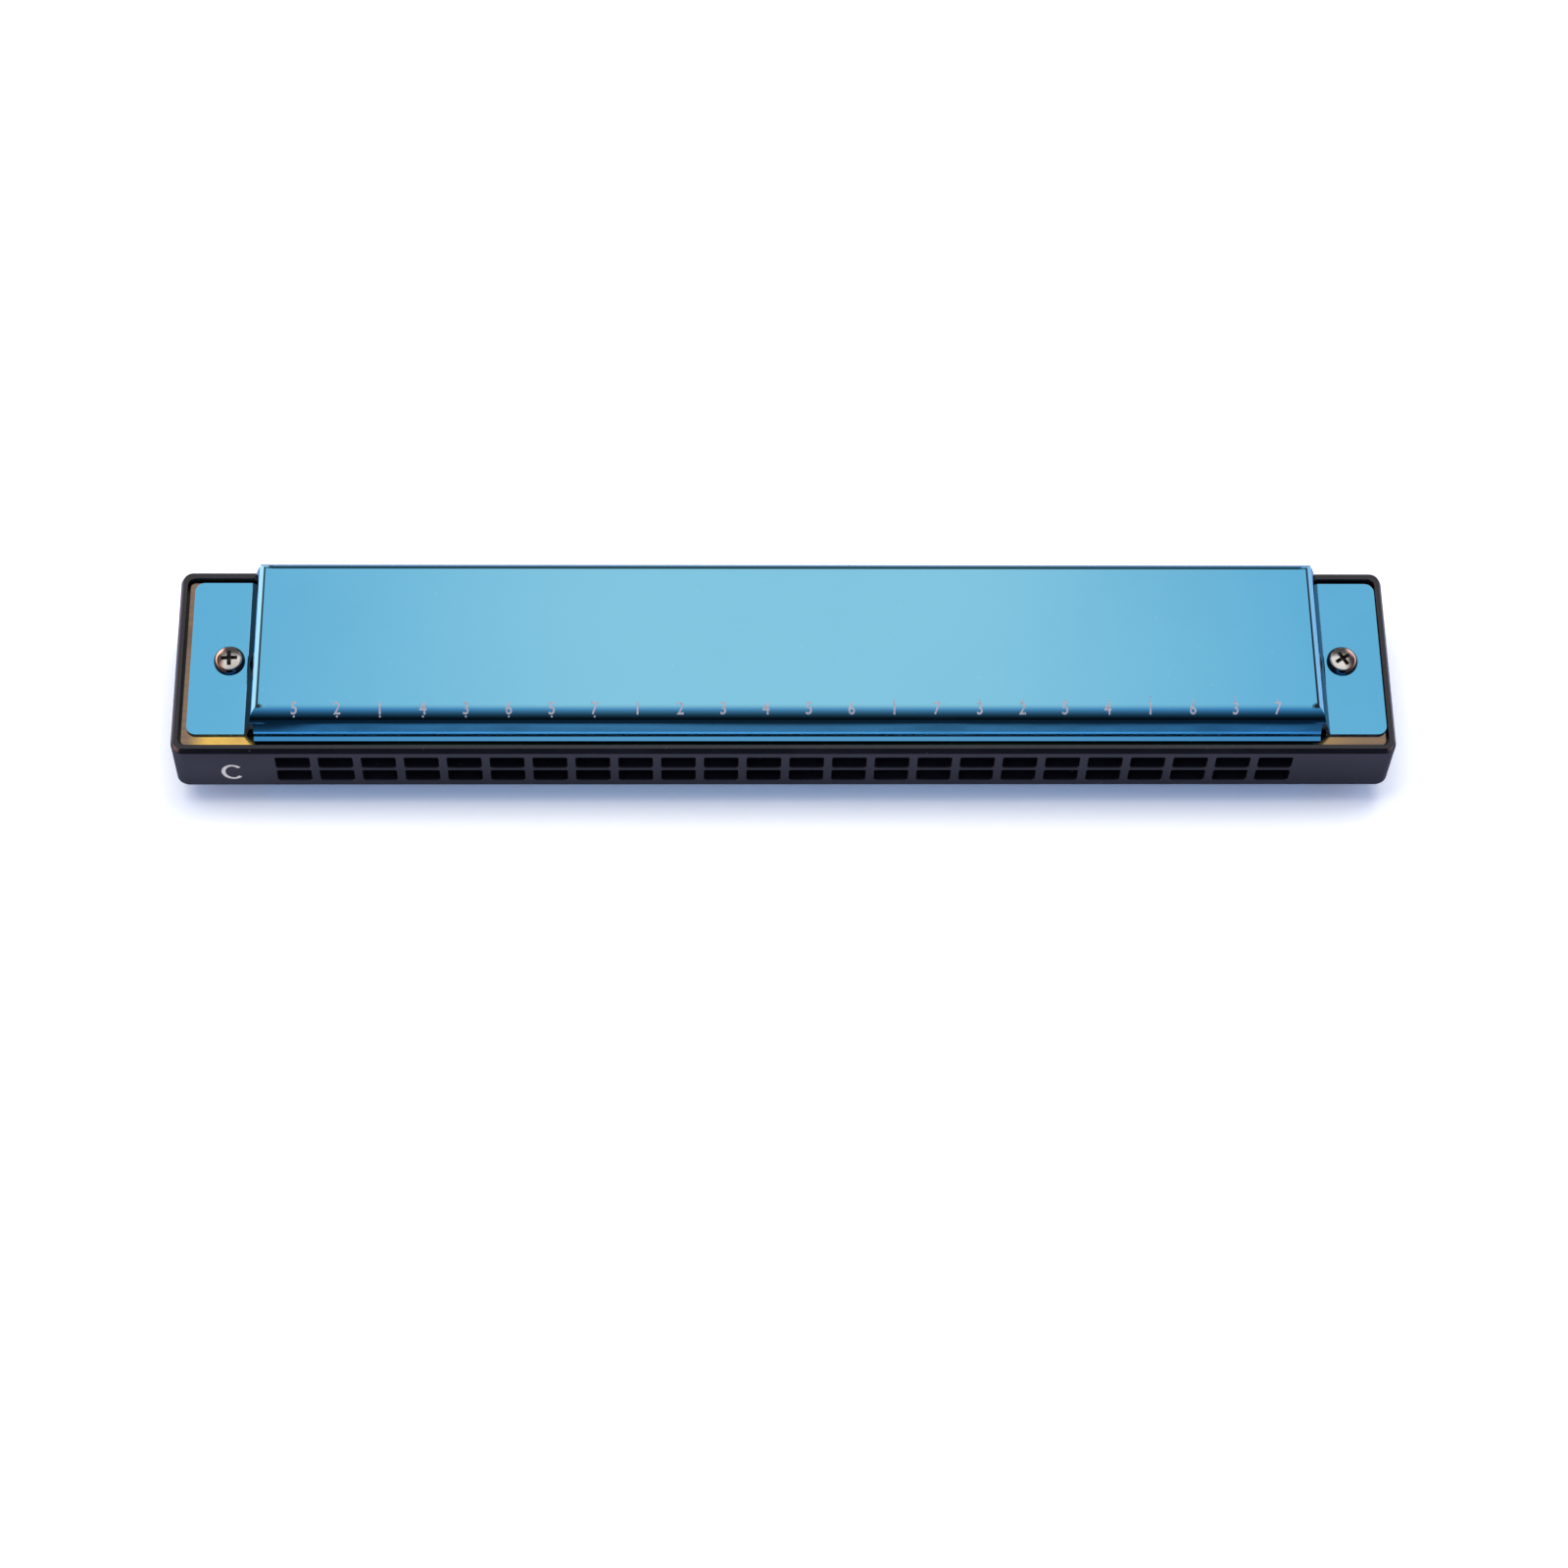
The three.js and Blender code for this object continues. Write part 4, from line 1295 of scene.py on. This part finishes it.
def studio_table():
    """The table's top: white and softly shaded to the eye, dimmer where the metal mirrors it."""
    mesh = bpy.data.meshes.new("table_top")
    corners = [(x * table_half, y * table_half) for x, y in ((-1, -1), (1, -1), (1, 1), (-1, 1))]
    mesh.from_pydata([(x, y, -table_drop) for x, y in corners], [], [(0, 1, 2, 3)])
    made = added("table_top", mesh)
    paint = bpy.data.materials.new("pale table")
    paint.use_nodes = True
    tree = paint.node_tree
    tree.nodes.clear()
    place = object_place(tree)
    across, depth, _ = parts_of(tree, place)
    ends = {"Value": depth, "From Min": mirrored_front, "From Max": mirrored_back}
    share = node(tree, "ShaderNodeMapRange", ends).outputs[0]
    share = minus(tree, share, faded(tree, across, *shift_span, 0, mirrored_left_shift))
    mirrored = shade_ramp(tree, share, mirrored_shades, mirrored_tint)
    near = shade_ramp(tree, share, mirrored_shades, mirrored_near_tint)
    mirrored = blended(tree, faded(tree, share, *near_tint_span), mirrored, near)
    beside = faded(tree, maths(tree, "ABSOLUTE", across), *table_side_span)
    beside = times(tree, beside, faded(tree, depth, *table_side_front))
    mirrored = blended(tree, beside, mirrored, screen_colours(tree, across, table_side_middle))
    path = node(tree, "ShaderNodeLightPath").outputs
    paint_colour = blended(tree, path["Is Glossy Ray"], (*table_colour, 1), mirrored)
    paint_colour = blended(tree, path["Is Camera Ray"], paint_colour, (*table_seen_colour, 1))
    matt = node(tree, "ShaderNodeBsdfDiffuse", {"Color": paint_colour}).outputs[0]
    white = node(tree, "ShaderNodeEmission", {"Color": (1, 1, 1, 1)}).outputs[0]
    far = faded(tree, length_of(tree, place), table_white_near, table_white_far)
    seen_far = times(tree, far, path["Is Camera Ray"])
    shown = node(tree, "ShaderNodeMixShader", {0: seen_far, 1: matt, 2: white}).outputs[0]
    node(tree, "ShaderNodeOutputMaterial", {"Surface": shown})
    mesh.materials.append(paint)


def studio_world():
    """White to the camera; in reflections a bright ceiling and side screens, and dark low in front."""
    world = bpy.data.worlds.new("studio")
    bpy.context.scene.world = world
    world.use_nodes = True
    tree = world.node_tree
    tree.nodes.clear()
    x, y, z = parts_of(tree, node(tree, "ShaderNodeTexCoord").outputs["Generated"])
    over = maths(tree, "ARCTAN2", z, times(tree, y, -1.0))
    share = maths(tree, "DIVIDE", over, math.pi)
    path = node(tree, "ShaderNodeLightPath").outputs
    again = maths(tree, "GREATER_THAN", path["Glossy Depth"], 1.5)
    rising, falling = faded(tree, share, *low_front_rise), faded(tree, share, *low_front_fall)
    low_front = times(tree, rising, falling)
    overhead = shade_ramp(tree, share, ceiling_shades)
    front_sky = shade_ramp(tree, share, ceiling_shades, front_sky_tint)
    ceiling = blended(tree, faded(tree, share, *front_sky_span), overhead, front_sky)
    ceiling = blended(tree, times(tree, again, low_front), ceiling, (*low_front_colour, 1))
    side = screen_colours(tree, x, screen_middle)
    screens = blended(tree, shade_ramp(tree, z, screen_shades), (0, 0, 0, 1), side)
    sideways = faded(tree, maths(tree, "ABSOLUTE", x), *screen_span)
    studio = blended(tree, sideways, ceiling, screens)
    white = maths(tree, "MAXIMUM", path["Is Camera Ray"], path["Is Transmission Ray"])
    first_bounces = maths(tree, "LESS_THAN", path["Diffuse Depth"], 0.5)
    mirrored = times(tree, path["Is Glossy Ray"], first_bounces)
    light = blended(tree, mirrored, (*fill_light, 1), studio)
    shown = blended(tree, white, light, (1, 1, 1, 1))
    background = node(tree, "ShaderNodeBackground", {"Color": shown, "Strength": 1.0}).outputs[0]
    node(tree, "ShaderNodeOutputWorld", {"Surface": background})


def key_light():
    """A soft lamp almost straight above the harmonica."""
    lamp = bpy.data.lights.new("key_light", "AREA")
    lamp.shape = "RECTANGLE"
    lamp.size = key_length
    lamp.size_y = key_width
    lamp.energy = key_power
    lamp.color = key_colour
    made = added("key_light", lamp)
    made.location = key_place
    made.rotation_euler = (-key_place).to_track_quat("-Z", "Y").to_euler()
    made.visible_glossy = False


def camera():
    """Looks down on the harmonica from in front, turned and rolled a little."""
    right = Vector((1, 0, 0))
    up = Vector((0, math.sin(camera_elevation), math.cos(camera_elevation)))
    forward = Vector((0, math.cos(camera_elevation), -math.sin(camera_elevation)))
    side = right * math.cos(camera_roll) - up * math.sin(camera_roll)
    top = right * math.sin(camera_roll) + up * math.cos(camera_roll)
    turn = Matrix.Rotation(-camera_yaw, 3, "Z")
    place = turn @ (-side * camera_shift.x - top * camera_shift.y - forward * camera_distance)
    place.z += (comb_middle + rim_top) * MM
    made = added("camera", bpy.data.cameras.new("camera"))
    made.data.lens = camera_lens
    axes = Matrix((turn @ side, turn @ top, turn @ -forward)).transposed()
    made.matrix_world = Matrix.Translation(place) @ axes.to_4x4()
    bpy.context.scene.camera = made


studio_table()
studio_world()
key_light()
camera()
bpy.context.scene.view_settings.view_transform = "Standard"
